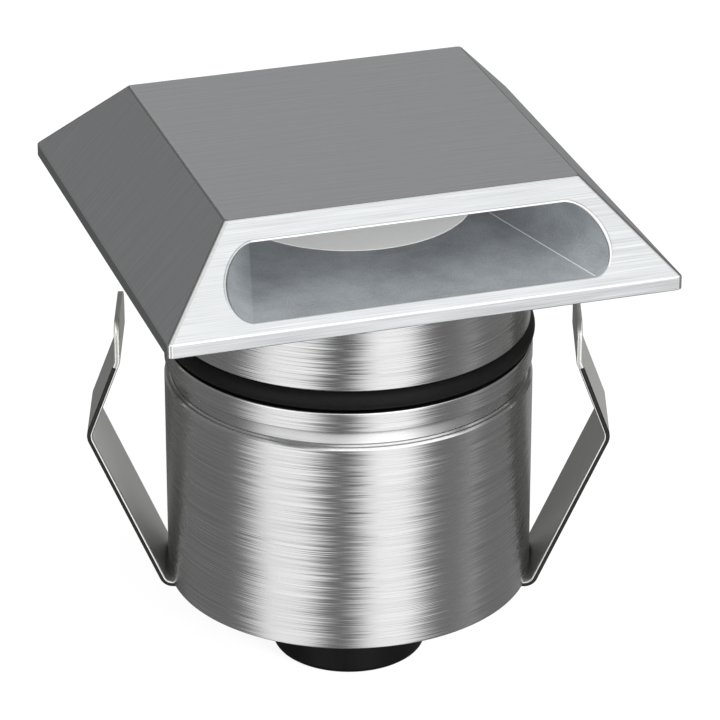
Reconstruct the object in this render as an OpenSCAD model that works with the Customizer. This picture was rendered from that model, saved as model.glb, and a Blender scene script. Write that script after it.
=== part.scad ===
// In-ground deck light: a square one-way head over a round recessed housing.
// Frame: origin at the centre of the head's underside, which is the deck surface.
// +Z points up out of the deck, and the light leaves the slot towards -Y. Millimetres.

/* [Head] */
// Width of the square head
head_w = 80; // [76:1:96]
// Height of the upright rim round the head
rim_h = 2.2; // [1.6:0.1:3]
// Height of the head above the deck
head_h = 15.3; // [14.5:0.1:20]
// Width of the flat square top
top_w = 55.6; // [50:0.2:62]

/* [Light chamber] */
// Height of the chamber, from its floor to its ceiling
chamber_h = 8.95; // [8:0.05:9.4]
// Half distance between the side walls' centre lines at the front of the head
slot_half_w = 26.2; // [23:0.1:28]
// Clearance of the round well round the lens
well_margin = 0.65; // [0.4:0.05:2]
// Thickness of the chamber's floor plate
floor_t = 1.15; // [0.8:0.05:1.6]
// Width of the cover's sill in front of the floor plate
sill_w = 2.4; // [2:0.1:3.5]
// How far the floor plate runs under the chamber's walls
plate_lip = 1.5; // [1:0.1:2.5]

/* [Lens] */
// How far the lens laps over its window
lens_lap = 0.75; // [0.5:0.05:1]
// Width of the step that the floor plate holds down
lens_step = 1.6; // [1:0.1:2]
// Thickness of the gasket under the lens
lens_gasket_t = 0.6; // [0.4:0.1:0.9]
// Width of the gasket under the lens
lens_gasket_w = 2.2; // [1.6:0.1:2.6]

/* [Neck] */
// Width of the neck's square flange
flange_w = 76; // [70:0.5:76]
// Thickness of the neck's square flange
flange_t = 2.3; // [1.8:0.1:3]
// Corner radius of the neck's flange
flange_corner = 2; // [1:0.5:4]
// How far the neck stands back from the housing's outside
neck_step = 0.5; // [0.3:0.05:0.9]
// Length of the neck below the head
neck_h = 15.8; // [14:0.1:18]
// Thickness of the ledge that carries the lens
ledge_t = 2; // [1.5:0.1:3]
// Width of the ledge that carries the lens
ledge_w = 3.6; // [3.3:0.1:5]
// Width of the step that the lamp carrier stands against
carrier_step = 0.8; // [0.6:0.1:1.2]
// Wall of the turning spigot below the neck
spigot_wall = 2.2; // [1.8:0.1:2.6]
// How far the spigot runs past its retaining ring
spigot_tail = 1.2; // [0.8:0.1:2]

/* [Seal ring] */
// How far the black seal ring stands out past the neck
seal_proud = 0.75; // [0.5:0.05:1]
// Thickness of the black seal ring
seal_d = 3.4; // [3:0.1:4]

/* [Collar] */
// How far the collar stands back from the housing's outside
collar_back = 0.05; // [0:0.05:0.3]
// Height of the collar's band
collar_h = 3.3; // [2.5:0.1:5]
// Depth of the groove's foot under the collar
groove_depth = 1.2; // [0.8:0.05:1.6]
// Height of the groove under the collar
groove_h = 2.45; // [1.6:0.05:3.5]
// How far the groove's wall leans in above its foot
groove_lean = 0.85; // [0.4:0.05:0.9]
// Height of the leaning part of the groove's wall
groove_lean_h = 1.25; // [0.8:0.05:1.4]
// Wall of the collar inside its thread
collar_wall = 1.75; // [1.6:0.05:1.8]
// How far the thread stands out past the housing's bore
thread_step = 0.65; // [0.5:0.05:0.9]
// Length of the collar's thread
thread_l = 4.65; // [3.5:0.05:7]
// Bevel on the collar's and housing's upper edges
edge_bevel = 0.35; // [0.2:0.05:0.6]
// Thickness of the seal below the collar's thread
collar_seal_t = 1; // [0.8:0.1:1.5]

/* [Housing] */
// Outer radius of the housing
body_r = 29.15; // [27:0.05:32]
// Height of the housing
body_h = 35.18; // [32:0.1:50]
// How far the housing's upper rim falls away outwards
rim_drop = 0.3; // [0.1:0.05:0.6]
// Wall of the housing
body_wall = 2.8; // [2.6:0.1:3.4]
// Thickness of the housing's base
base_t = 2.5; // [2:0.1:4]
// Bevel on the housing's lower edge
foot_bevel = 0.25; // [0.1:0.05:0.5]

/* [Spring clips] */
// Turn of the housing and its clips against the head, in degrees
clip_turn = -17.75; // [-60:0.25:60]
// Width of the spring strip
clip_w = 15; // [14:0.5:18]
// Thickness of the spring strip
clip_t = 0.9; // [0.6:0.1:1.2]
// Distance from the housing's outside to the bend at the root of each arm
root_gap = 0.18; // [0.08:0.02:1.2]
// How far the knee of each arm reaches out past its root
knee_reach = 11.65; // [10:0.05:15]
// Depth of the knee below the deck
knee_z = 34.15; // [32:0.1:37]
// How far the upright tab of each arm stands out past the arm's root
tab_reach = 6.79; // [6.5:0.05:9]
// Depth of the crease under the tab
crease_z = 21.14; // [20:0.1:24]
// Depth of the tab's top
tab_z = 14.6; // [14:0.1:17]
// Corner radius of the tab's top
tab_corner = 3; // [2:0.1:5]
// Mean radius of the root bend
root_bend = 1.8; // [1.4:0.1:2.2]
// Mean radius of the knee
knee_bend = 2.5; // [1.5:0.1:4]
// Mean radius of the crease
crease_bend = 1.2; // [0.8:0.1:3]

/* [Lamp] */
// Thickness of the aluminium lamp carrier
carrier_t = 3; // [2.5:0.1:4]
// Depth of the lamp carrier's upper face below the deck
carrier_z = 9; // [8.5:0.1:10.5]
// How far the lamp board stands back from the window's edge
led_board_back = 1.1; // [1:0.1:1.4]
// Thickness of the lamp board
led_board_t = 1.5; // [1:0.1:2]
// Height of each lamp chip
chip_h = 0.7; // [0.5:0.1:1]
// Number of lamp chips on the ring
chip_count = 6; // [4:1:6]
// Wall of the reflector cup
cup_wall = 0.9; // [0.7:0.1:1]

/* [Driver] */
// Height of the posts under the driver board
post_h = 6.5; // [6:0.5:10]
// Radius of each post
post_r = 2.4; // [2:0.1:3]
// Distance of the posts from the driver board's edge
post_inset = 4; // [3.5:0.1:5]
// Clearance between the driver board and the housing
board_gap = 1.35; // [1:0.05:2]
// Thickness of the driver board
board_t = 1.6; // [1.2:0.1:2]
// Height of the driver's coil
coil_h = 6; // [4:0.5:8]
// Height of each capacitor
capacitor_h = 10; // [8:0.5:12]

/* [Cable gland] */
// Radius of the cable that the gland seals on
cable_r = 3.3; // [2.8:0.1:3.5]
// Radius of the gland's stem through the base
stem_r = 6; // [5.5:0.1:6.2]
// Radius of the gland's black body and cap
gland_r = 12.38; // [11.5:0.05:14]
// Height of the gland's body below the clip
gland_body_h = 8.4; // [7:0.1:12]
// Height of the gland's cap
gland_cap_h = 4.97; // [4.5:0.1:8]
// Height of the gland's locknut
locknut_h = 4; // [3:0.1:5]
// Width across the flats of the gland's locknut
locknut_flats = 16; // [15:0.5:18]

/* [Fasteners and fits] */
// Shank radius of the cover screws
cover_screw_r = 1.5; // [1.25:0.05:1.75]
// Head radius of the cover screws
cover_screw_head_r = 2.9; // [2.6:0.1:3.2]
// Length of the cover screws
cover_screw_l = 6.5; // [5.5:0.1:8]
// Distance of the cover screws from the flange's edges
cover_screw_inset = 5; // [4.5:0.1:6]
// Shank radius of the board screws
small_screw_r = 1; // [0.8:0.1:1.2]
// Head radius of the board screws
small_head_r = 1.6; // [1.5:0.1:1.8]
// Head height of the board screws
small_head_h = 1.1; // [0.8:0.1:1.2]
// Thickness of the spring retaining rings
ring_t = 1.2; // [1:0.1:1.5]
// Width of the gap in the spring retaining rings
ring_gap = 6; // [4:0.5:8]
// Clearance of fixed fits
fit = 0.05; // [0.02:0.01:0.08]

/* [Hidden] */
$fn = 96;

// Overrun of every cut past the face that it opens
cut = 1;

// Play of the turning spigot in the collar, round it and along it
turn_fit = 0.05;
ring_play = 0.1;
seal_gap = 0.05;

// Radii from the housing's outside inwards
neck_r = body_r - neck_step;
seal_r = neck_r + seal_proud;
collar_r = body_r - collar_back;
groove_r = collar_r - groove_depth;
body_bore_r = body_r - body_wall;
thread_r = body_bore_r + thread_step;
spigot_r = thread_r - collar_wall - turn_fit;
carrier_bore_r = spigot_r - spigot_wall;
optic_bore_r = carrier_bore_r - carrier_step;
window_r = optic_bore_r - ledge_w;
lens_r = window_r + lens_lap;
well_r = lens_r + well_margin;

// Place of the cover screws, from the head's middle lines
cover_screw_x = flange_w / 2 - cover_screw_inset;

// Levels of the head, upwards from the deck
floor_z = flange_t + floor_t;
slot_axis_z = floor_z + chamber_h / 2;

// The chamber's side walls are round, and the floor and the ceiling just cut into the round
round_over = 0.075;
slot_r = chamber_h / 2 + round_over;

// The side walls' centre lines start at the front and are tangent to a circle round the axis,
// so that the round walls run into the well
well_step = 0.5;
side_start = [slot_half_w, -head_w / 2];
side_tangent_r = well_r - slot_r - well_step;
side_reach = sqrt(pow(norm(side_start), 2) - pow(side_tangent_r, 2));
side_taper = atan(side_start[0] / -side_start[1]) - asin(side_tangent_r / norm(side_start));
side_dir = [-sin(side_taper), cos(side_taper)];
side_end = side_start + side_reach * side_dir;

// Levels below the deck
neck_end_z = -neck_h;
collar_top_z = neck_end_z - seal_d;
collar_low_z = collar_top_z - collar_h;
body_top_z = collar_low_z - groove_h;
collar_end_z = body_top_z - thread_l;
ring_top_z = collar_end_z - ring_play;
spigot_end_z = ring_top_z - ring_t - ring_play - spigot_tail;
body_low_z = body_top_z - body_h;
base_in_z = body_low_z + base_t;
foot_low_z = body_low_z - clip_t;
gland_seam_z = foot_low_z - gland_body_h;
gland_low_z = gland_seam_z - gland_cap_h;

// Retaining rings and their grooves
ring_w = 1.8;
ring_depth = 0.8;
ring_in_r = spigot_r - ring_depth;
carrier_ring_out_r = carrier_bore_r + ring_depth;
carrier_low_z = -carrier_z - carrier_t;
carrier_ring_low_z = carrier_low_z - ring_play - ring_t;

// Lens and its seat
lens_seat_r = lens_r + lens_step;

// Lamp board, and the places on it as shares of its radius
led_board_r = window_r - led_board_back;
led_screw_ring_r = 0.88 * led_board_r;
cup_foot_r = 0.543 * led_board_r;
chip_ring_r = 0.32 * led_board_r;
chip_w = 0.17 * led_board_r;

// Reflector cup
board_top_z = -carrier_z + led_board_t;
cup_top_z = -ledge_t;
cup_rim_t = 0.8;
cup_mouth_r = window_r - cup_wall;

// Lead grommet in the lamp carrier
grommet_hole_r = 1.6;
grommet_neck = 0.5;
grommet_flange_r = grommet_hole_r + 0.6 * grommet_neck;
grommet_flange_t = 0.7;
grommet_bore_r = grommet_hole_r - grommet_neck;
grommet_x = (led_board_r + carrier_bore_r) / 2;

// Driver board, and what stands on it in shares of its radius
board_r = body_bore_r - board_gap;
board_hole_r = 0.2 * board_r;
post_ring_r = board_r - post_inset;
post_angles = [30, 150, 270];
driver_low_z = base_in_z + post_h;
driver_top_z = driver_low_z + board_t;
coil_r = 0.22 * board_r;
coil_bore_r = 0.1 * board_r;
coil_place = board_r * [-0.48, 0.16];
capacitor_r = 0.126 * board_r;
capacitor_places = board_r * [[0.4, -0.44], [0.68, -0.24]];
driver_chip_size = board_r * [0.24, 0.2, 0.064];
driver_chip_places = board_r * [[-0.48, -0.36], [0, -0.6], [-0.12, 0.54]];
terminal_size = board_r * [0.4, 0.32, 0.36];
terminal_place = board_r * [0.44, 0.32];
terminal_pitch = terminal_size[0] / 2;
terminal_wire_r = 0.14 * terminal_size[0];
terminal_screw_r = 0.15 * terminal_size[0];
terminal_screw_h = 0.8;
terminal_screw_sink = 1.2;

// Seals round the gland's stem
base_seal_d = 1.2;
base_seal_r = stem_r + fit + base_seal_d / 2;

// Gland pieces
cable_gap = 0.35;
stem_bore_r = cable_r + cable_gap;
insert_r = stem_r;
insert_seat_share = 0.7;
skirt_r = 8.6;
skirt_h = 2.6;
insert_h = skirt_h + insert_seat_share * gland_body_h / 2;

// Spring strip: where the foot ends, and the strip's centre line as corners with bend radii
root_r = body_r + root_gap;
knee_r = root_r + knee_reach;
tab_r = root_r + tab_reach;
strip_mid_z = body_low_z - clip_t / 2;
lower_turn = 90 - atan((knee_r - root_r) / (-knee_z - strip_mid_z));
foot_half_l = root_r - root_bend * tan(lower_turn / 2);
arm_corners = [
    [foot_half_l, strip_mid_z, 0],
    [root_r, strip_mid_z, root_bend],
    [knee_r, -knee_z, knee_bend],
    [tab_r, -crease_z, crease_bend],
    [tab_r, -tab_z, 0]
];
bend_steps = 8;

// A relief in the housing's lower edge gives the arms' root bends room
relief_start_r = foot_half_l - fit;

function unit(v) = v / norm(v);
function left_of(d) = [-d[1], d[0]];
function turned(d, a) = [d[0] * cos(a) - d[1] * sin(a), d[0] * sin(a) + d[1] * cos(a)];
function point2(p) = [p[0], p[1]];

// Points of one rounded corner, each with the direction that the line has there
function corner_run(a, b, c) =
    let (d0 = unit(point2(b) - point2(a)))
    let (d1 = unit(point2(c) - point2(b)))
    let (side = sign(d0[0] * d1[1] - d0[1] * d1[0]))
    let (turn = acos(d0 * d1))
    let (start = point2(b) - d0 * b[2] * tan(turn / 2))
    let (centre = start + side * b[2] * left_of(d0))
    [
        for (k = [0:bend_steps])
            let (d = turned(d0, side * turn * k / bend_steps))
            [centre - side * b[2] * left_of(d), d]
    ];

// The whole centre line, from the first corner to the last
function bent_line(corners) =
    let (n = len(corners))
    concat(
        [[point2(corners[0]), unit(point2(corners[1]) - point2(corners[0]))]],
        [for (i = [1:n - 2]) each corner_run(corners[i - 1], corners[i], corners[i + 1])],
        [[point2(corners[n - 1]), unit(point2(corners[n - 1]) - point2(corners[n - 2]))]]
    );

// Closed outline of a strip of thickness t along the line
function strip_outline(line, t) =
    concat(
        [for (p = line) p[0] + left_of(p[1]) * t / 2],
        [for (i = [len(line) - 1:-1:0]) line[i][0] - left_of(line[i][1]) * t / 2]
    );

module at_corners(x) {
    for (sx = [-1, 1], sy = [-1, 1]) {
        translate([sx * x, sy * x, 0]) children();
    }
}

module pipe(r_out, r_in, h) {
    difference() {
        cylinder(r = r_out, h = h);
        translate([0, 0, -cut]) cylinder(r = r_in, h = h + 2 * cut);
    }
}

module torus(ring_r, section_d) {
    rotate_extrude() translate([ring_r, 0]) circle(d = section_d, $fn = 32);
}

// A spring retaining ring, open on one side
module snap_ring(r_out, r_in) {
    difference() {
        pipe(r_out, r_in, ring_t);
        translate([0, -ring_gap / 2, -cut]) cube([r_out + cut, ring_gap, ring_t + 2 * cut]);
    }
}

// Side view of the head, extruded across it
module head_wedge() {
    rotate([90, 0, 0]) linear_extrude(head_w + 2 * cut, center = true) polygon([
        [-head_w / 2, 0],
        [head_w / 2, 0],
        [head_w / 2, rim_h],
        [top_w / 2, head_h],
        [-top_w / 2, head_h],
        [-head_w / 2, rim_h]
    ]);
}

// Plan of the chamber between its side walls' centre lines, widened by grow
module chamber_plan(grow, front_y) {
    front_x = slot_half_w + (-head_w / 2 - front_y) * tan(side_taper) + grow;
    polygon([
        [-front_x, front_y],
        [front_x, front_y],
        [side_end[0] + grow, side_end[1]],
        [-side_end[0] - grow, side_end[1]]
    ]);
}

// The empty space of the chamber, open to the front
module chamber_space() {
    translate([0, 0, floor_z]) {
        linear_extrude(chamber_h) chamber_plan(0, -head_w / 2 - cut);
        cylinder(r = well_r, h = chamber_h);
    }
    for (s = [-1, 1]) {
        translate([s * side_start[0], side_start[1], slot_axis_z]) side_round(s);
    }
}

// One round side wall of the chamber, cut off level with the floor and the ceiling
module side_round(s) {
    rotate([-90, 0, s * side_taper]) intersection() {
        translate([0, 0, -cut]) cylinder(r = slot_r, h = side_reach + cut);
        translate([-slot_r - cut, -chamber_h / 2, -2 * cut]) {
            cube([2 * (slot_r + cut), chamber_h, side_reach + 3 * cut]);
        }
    }
}

// Plan of the floor plate, widened by grow
module plate_plan(grow) {
    chamber_plan(plate_lip + grow, -head_w / 2 + sill_w - grow);
    circle(r = well_r + plate_lip + grow);
}

module head_cover() {
    color("gainsboro") difference() {
        intersection() {
            head_wedge();
            rotate([0, 0, 90]) head_wedge();
        }
        chamber_space();
        translate([0, 0, (flange_t - cut) / 2]) {
            cube([flange_w + 2 * fit, flange_w + 2 * fit, flange_t + cut], center = true);
        }
        linear_extrude(floor_z) plate_plan(fit);
        at_corners(cover_screw_x) cylinder(r = cover_screw_r + fit, h = cover_screw_l + fit);
    }
}

module floor_plate() {
    color("slategray") difference() {
        translate([0, 0, flange_t]) linear_extrude(floor_t) plate_plan(0);
        cylinder(r = lens_r + fit, h = floor_z + cut);
    }
}

module lens() {
    color("whitesmoke") {
        translate([0, 0, lens_gasket_t]) cylinder(r = lens_seat_r, h = flange_t - lens_gasket_t);
        cylinder_between(lens_r, flange_t, floor_z);
    }
}

module cylinder_between(r, low, high) {
    translate([0, 0, low]) cylinder(r = r, h = high - low);
}

module pipe_between(r_out, r_in, low, high) {
    translate([0, 0, low]) pipe(r_out, r_in, high - low);
}

module lens_gasket() {
    color("dimgray") pipe(lens_seat_r, lens_seat_r - lens_gasket_w, lens_gasket_t);
}

// Shank and sunk head of a cover screw, widened by grow for its hole
module cover_screw(grow, l) {
    head_h_cone = cover_screw_head_r - cover_screw_r;
    cylinder(r = cover_screw_r + grow, h = l);
    cylinder(r1 = cover_screw_head_r + grow, r2 = cover_screw_r + grow, h = head_h_cone);
}

module neck() {
    color("silver") difference() {
        union() {
            linear_extrude(flange_t) flange_plan();
            cylinder_between(neck_r, neck_end_z, 0);
            cylinder_between(seal_r - seal_d, collar_top_z + seal_gap, 0);
            cylinder_between(spigot_r, spigot_end_z, 0);
        }
        cylinder_between(lens_seat_r + fit, 0, flange_t + cut);
        cylinder_between(window_r, -ledge_t - cut, cut);
        cylinder_between(optic_bore_r, -carrier_z - cut, -ledge_t);
        cylinder_between(carrier_bore_r, spigot_end_z - cut, -carrier_z);
        cylinder_between(carrier_ring_out_r, carrier_ring_low_z - ring_play, carrier_low_z);
        pipe_between(spigot_r + cut, ring_in_r, ring_top_z - ring_t - ring_play, ring_top_z + ring_play);
        at_corners(cover_screw_x) cover_screw(fit, flange_t + cut);
    }
}

module flange_plan() {
    straight = flange_w - 2 * flange_corner;
    square([flange_w, straight], center = true);
    square([straight, flange_w], center = true);
    at_corners(straight / 2) circle(r = flange_corner);
}

module cover_screws() {
    color("silver") at_corners(cover_screw_x) cover_screw(0, cover_screw_l);
}

module optic_cup() {
    color("white") rotate_extrude() polygon([
        [cup_foot_r, board_top_z],
        [cup_foot_r + cup_wall, board_top_z],
        [cup_mouth_r + cup_wall, cup_top_z - cup_rim_t],
        [optic_bore_r - fit, cup_top_z - cup_rim_t],
        [optic_bore_r - fit, cup_top_z],
        [cup_mouth_r, cup_top_z]
    ]);
}

module led_screw_places() {
    for (s = [-1, 1]) {
        translate([0, s * led_screw_ring_r, 0]) children();
    }
}

module led_board() {
    color("ivory") difference() {
        cylinder_between(led_board_r, -carrier_z, board_top_z);
        led_screw_places() cylinder_between(small_screw_r + fit, -carrier_z - cut, board_top_z + cut);
    }
}

module led_chip() {
    translate([-chip_w / 2, -chip_w / 2, board_top_z]) cube([chip_w, chip_w, chip_h]);
}

module led_chips() {
    color("gold") {
        led_chip();
        for (i = [0:chip_count - 1]) {
            rotate([0, 0, i * 360 / chip_count]) translate([chip_ring_r, 0, 0]) led_chip();
        }
    }
}

module led_screws() {
    color("silver") led_screw_places() {
        cylinder_between(small_screw_r, carrier_low_z + carrier_t / 3, board_top_z);
        cylinder_between(small_head_r, board_top_z, board_top_z + small_head_h);
    }
}

module led_carrier() {
    color("silver") difference() {
        cylinder_between(carrier_bore_r - fit, carrier_low_z, -carrier_z);
        led_screw_places() {
            cylinder_between(small_screw_r + fit, carrier_low_z + carrier_t / 3 - fit, -carrier_z + cut);
        }
        translate([grommet_x, 0, 0]) {
            cylinder_between(grommet_hole_r, carrier_low_z - cut, -carrier_z + cut);
        }
    }
}

module carrier_ring() {
    color("gray") translate([0, 0, carrier_ring_low_z + ring_play]) {
        snap_ring(carrier_ring_out_r - fit, carrier_ring_out_r - ring_w);
    }
}

module lead_grommet() {
    color("black") translate([grommet_x, 0, 0]) difference() {
        union() {
            cylinder_between(grommet_hole_r - fit, carrier_low_z, -carrier_z);
            cylinder_between(grommet_flange_r, -carrier_z, -carrier_z + grommet_flange_t);
        }
        cylinder_between(grommet_bore_r, carrier_low_z - cut, -carrier_z + grommet_flange_t + cut);
    }
}

module seal_ring() {
    color("black") translate([0, 0, neck_end_z - seal_d / 2 + seal_gap / 2]) {
        torus(seal_r - seal_d / 2 + seal_gap / 2, seal_d - seal_gap);
    }
}

module retaining_ring() {
    color("gray") translate([0, 0, ring_top_z - ring_t]) {
        rotate([0, 0, 180]) snap_ring(ring_in_r + ring_w - fit, ring_in_r + fit);
    }
}

module collar() {
    color("silver") rotate_extrude() polygon([
        [spigot_r + turn_fit, collar_top_z],
        [collar_r - edge_bevel, collar_top_z],
        [collar_r, collar_top_z - edge_bevel],
        [collar_r, collar_low_z],
        [groove_r - groove_lean, collar_low_z],
        [groove_r - groove_lean, body_top_z + groove_lean_h],
        [groove_r, body_top_z],
        [thread_r, body_top_z],
        [thread_r, collar_end_z],
        [spigot_r + turn_fit, collar_end_z]
    ]);
}

module collar_seal() {
    color("black") pipe_between(thread_r, body_bore_r + fit, collar_end_z - collar_seal_t, collar_end_z);
}

// The cut under the arms' root bends, across the housing's lower edge
module clip_relief() {
    for (s = [0, 180]) {
        rotate([0, 0, s]) translate([relief_start_r, 0, body_low_z]) rotate([0, -45, 0]) {
            translate([0, -clip_w / 2 - cut, -2 * body_r]) cube([body_r, clip_w + 2 * cut, 2 * body_r]);
        }
    }
}

module housing() {
    color("silver") rotate([0, 0, clip_turn]) difference() {
        rotate_extrude() polygon([
            [0, body_low_z],
            [body_r - foot_bevel, body_low_z],
            [body_r, body_low_z + foot_bevel],
            [body_r, body_top_z - rim_drop - edge_bevel],
            [body_r - edge_bevel, body_top_z - rim_drop],
            [groove_r, body_top_z],
            [0, body_top_z]
        ]);
        cylinder_between(thread_r + fit, collar_end_z - collar_seal_t, body_top_z + cut);
        cylinder_between(body_bore_r, base_in_z, body_top_z);
        cylinder_between(stem_r + fit, body_low_z - cut, base_in_z + cut);
        pipe_between(base_seal_r + base_seal_d / 2 + fit, base_seal_r - base_seal_d / 2 - fit,
            body_low_z - cut, body_low_z + base_seal_d);
        clip_relief();
    }
}

module post_places() {
    for (a = post_angles) {
        rotate([0, 0, a]) translate([post_ring_r, 0, 0]) children();
    }
}

module board_posts() {
    color("gold") post_places() difference() {
        cylinder_between(post_r, base_in_z, driver_low_z);
        cylinder_between(small_screw_r + fit, base_in_z + post_h / 3 - fit, driver_low_z + cut);
    }
}

module driver_board() {
    color("darkgreen") difference() {
        cylinder_between(board_r, driver_low_z, driver_top_z);
        cylinder_between(board_hole_r, driver_low_z - cut, driver_top_z + cut);
        post_places() cylinder_between(small_screw_r + fit, driver_low_z - cut, driver_top_z + cut);
    }
}

module board_screws() {
    color("silver") post_places() {
        cylinder_between(small_screw_r, base_in_z + post_h / 3, driver_top_z);
        cylinder_between(small_head_r, driver_top_z, driver_top_z + small_head_h);
    }
}

module driver_coil() {
    color("peru") translate([coil_place[0], coil_place[1], driver_top_z]) {
        pipe(coil_r, coil_bore_r, coil_h);
    }
}

module driver_capacitors() {
    color("black") for (p = capacitor_places) {
        translate([p[0], p[1], driver_top_z]) cylinder(r = capacitor_r, h = capacitor_h);
    }
}

module driver_chips() {
    color("black") for (p = driver_chip_places) {
        translate([p[0] - driver_chip_size[0] / 2, p[1] - driver_chip_size[1] / 2, driver_top_z]) {
            cube(driver_chip_size);
        }
    }
}

module terminal_ways() {
    for (s = [-1, 1]) {
        translate([terminal_place[0] + s * terminal_pitch / 2, terminal_place[1], driver_top_z]) children();
    }
}

module terminal_block() {
    color("green") difference() {
        translate([terminal_place[0] - terminal_size[0] / 2, terminal_place[1] - terminal_size[1] / 2,
            driver_top_z]) cube(terminal_size);
        terminal_ways() {
            translate([0, 0, terminal_size[2] - terminal_screw_sink]) {
                cylinder(r = terminal_screw_r + fit, h = terminal_screw_sink + cut);
            }
            translate([0, 0, terminal_size[2] / 3]) rotate([-90, 0, 0]) {
                cylinder(r = terminal_wire_r, h = terminal_size[1] / 2 + cut);
            }
        }
    }
}

module terminal_screws() {
    color("silver") terminal_ways() {
        translate([0, 0, terminal_size[2] - terminal_screw_sink]) {
            cylinder(r = terminal_screw_r, h = terminal_screw_h);
        }
    }
}

module gland_locknut() {
    color("dimgray") difference() {
        translate([0, 0, base_in_z]) {
            cylinder(r = locknut_flats / 2 / cos(30), h = locknut_h, $fn = 6);
        }
        cylinder_between(stem_r + fit, base_in_z - cut, base_in_z + locknut_h + cut);
    }
}

module base_seal() {
    color("black") translate([0, 0, body_low_z + base_seal_d / 2]) torus(base_seal_r, base_seal_d);
}

module gland_body() {
    color("black") difference() {
        union() {
            cylinder_between(gland_r, gland_seam_z, foot_low_z);
            cylinder_between(stem_r, foot_low_z, base_in_z + locknut_h);
            cylinder_between(skirt_r, gland_seam_z - skirt_h, gland_seam_z);
        }
        cylinder_between(stem_bore_r, gland_seam_z - cut, base_in_z + locknut_h + cut);
        cylinder_between(insert_r + fit, gland_seam_z - skirt_h - cut, gland_seam_z - skirt_h + insert_h);
    }
}

module gland_insert() {
    insert_low_z = gland_seam_z - skirt_h;
    color("dimgray") pipe_between(insert_r, cable_r, insert_low_z, insert_low_z + insert_h);
}

module gland_cap() {
    color("black") difference() {
        cylinder_between(gland_r, gland_low_z, gland_seam_z);
        cylinder_between(skirt_r + fit, gland_seam_z - skirt_h, gland_seam_z + cut);
        cylinder_between(stem_bore_r, gland_low_z - cut, gland_seam_z);
    }
}

module clip_foot() {
    color("lightgray") rotate([0, 0, clip_turn]) difference() {
        translate([-foot_half_l, -clip_w / 2, foot_low_z]) cube([2 * foot_half_l, clip_w, clip_t]);
        cylinder_between(stem_r + fit, foot_low_z - cut, body_low_z + cut);
    }
}

// What rounds off one upper corner of the tab
module tab_corner_cut() {
    translate([0, clip_w / 2 - tab_corner, -tab_z - tab_corner]) difference() {
        translate([tab_r - clip_t - cut, 0, 0]) {
            cube([2 * (clip_t + cut), tab_corner + cut, tab_corner + cut]);
        }
        translate([tab_r - clip_t - 2 * cut, 0, 0]) rotate([0, 90, 0]) {
            cylinder(r = tab_corner, h = 2 * (clip_t + 2 * cut));
        }
    }
}

module arm() {
    difference() {
        rotate([90, 0, 0]) linear_extrude(clip_w, center = true) {
            polygon(strip_outline(bent_line(arm_corners), clip_t));
        }
        tab_corner_cut();
        mirror([0, 1, 0]) tab_corner_cut();
    }
}

module left_arm() {
    color("lightgray") rotate([0, 0, clip_turn + 180]) arm();
}

module right_arm() {
    color("lightgray") rotate([0, 0, clip_turn]) arm();
}

head_cover();
floor_plate();
lens();
lens_gasket();
neck();
cover_screws();
optic_cup();
led_board();
led_chips();
led_screws();
led_carrier();
carrier_ring();
lead_grommet();
seal_ring();
retaining_ring();
collar();
collar_seal();
housing();
board_posts();
driver_board();
board_screws();
driver_coil();
driver_capacitors();
driver_chips();
terminal_block();
terminal_screws();
gland_locknut();
base_seal();
gland_body();
gland_insert();
gland_cap();
clip_foot();
left_arm();
right_arm();
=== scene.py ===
"""In-ground deck light: a square one-way head over a round housing held by two spring arms.

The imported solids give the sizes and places. This script makes the surfaces that show from
outside as finer shells, gives every piece its finish, and lights the light in a plain studio.
Shapes are worked out in millimetres and are scaled to metres when a mesh is made.
"""

from __future__ import annotations

import logging
import math
from dataclasses import dataclass, field
from enum import Enum, IntEnum

import bmesh
import bpy
import numpy as np
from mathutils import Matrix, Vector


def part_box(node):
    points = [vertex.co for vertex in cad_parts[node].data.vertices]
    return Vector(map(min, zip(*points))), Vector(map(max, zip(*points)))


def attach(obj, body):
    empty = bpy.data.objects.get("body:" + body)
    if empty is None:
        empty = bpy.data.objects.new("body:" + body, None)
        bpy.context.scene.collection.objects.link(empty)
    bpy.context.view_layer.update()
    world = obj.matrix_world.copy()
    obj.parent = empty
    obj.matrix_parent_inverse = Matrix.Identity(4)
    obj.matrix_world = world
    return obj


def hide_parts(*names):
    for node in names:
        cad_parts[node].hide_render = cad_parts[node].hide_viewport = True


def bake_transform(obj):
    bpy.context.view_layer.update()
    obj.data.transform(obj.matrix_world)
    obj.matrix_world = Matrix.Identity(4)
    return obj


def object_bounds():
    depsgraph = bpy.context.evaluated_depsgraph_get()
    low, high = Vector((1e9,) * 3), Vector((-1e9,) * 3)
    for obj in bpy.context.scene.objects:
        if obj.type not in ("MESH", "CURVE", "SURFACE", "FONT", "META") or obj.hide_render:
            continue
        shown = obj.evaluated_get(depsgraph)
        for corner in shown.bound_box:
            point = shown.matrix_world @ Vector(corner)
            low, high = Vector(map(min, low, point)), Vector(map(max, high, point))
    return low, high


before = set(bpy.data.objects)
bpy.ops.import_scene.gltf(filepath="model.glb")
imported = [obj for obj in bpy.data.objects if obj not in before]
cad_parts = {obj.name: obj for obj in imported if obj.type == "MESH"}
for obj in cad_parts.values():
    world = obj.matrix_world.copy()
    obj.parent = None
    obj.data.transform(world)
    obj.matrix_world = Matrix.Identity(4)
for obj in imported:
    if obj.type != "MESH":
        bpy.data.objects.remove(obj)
CAD_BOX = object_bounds()

MM = 0.001
# Millimetres between two places that would otherwise be one, and play when faces are told apart
HAIR = 0.001
SLACK = 0.01
# Columns of a turned piece, and pieces of an arc
TURNS = 160
ARC_STEPS = 6
# Degrees from which an edge is shown sharp
SHARP_ANGLE = 35
log = logging.getLogger("deck_light")


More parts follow.
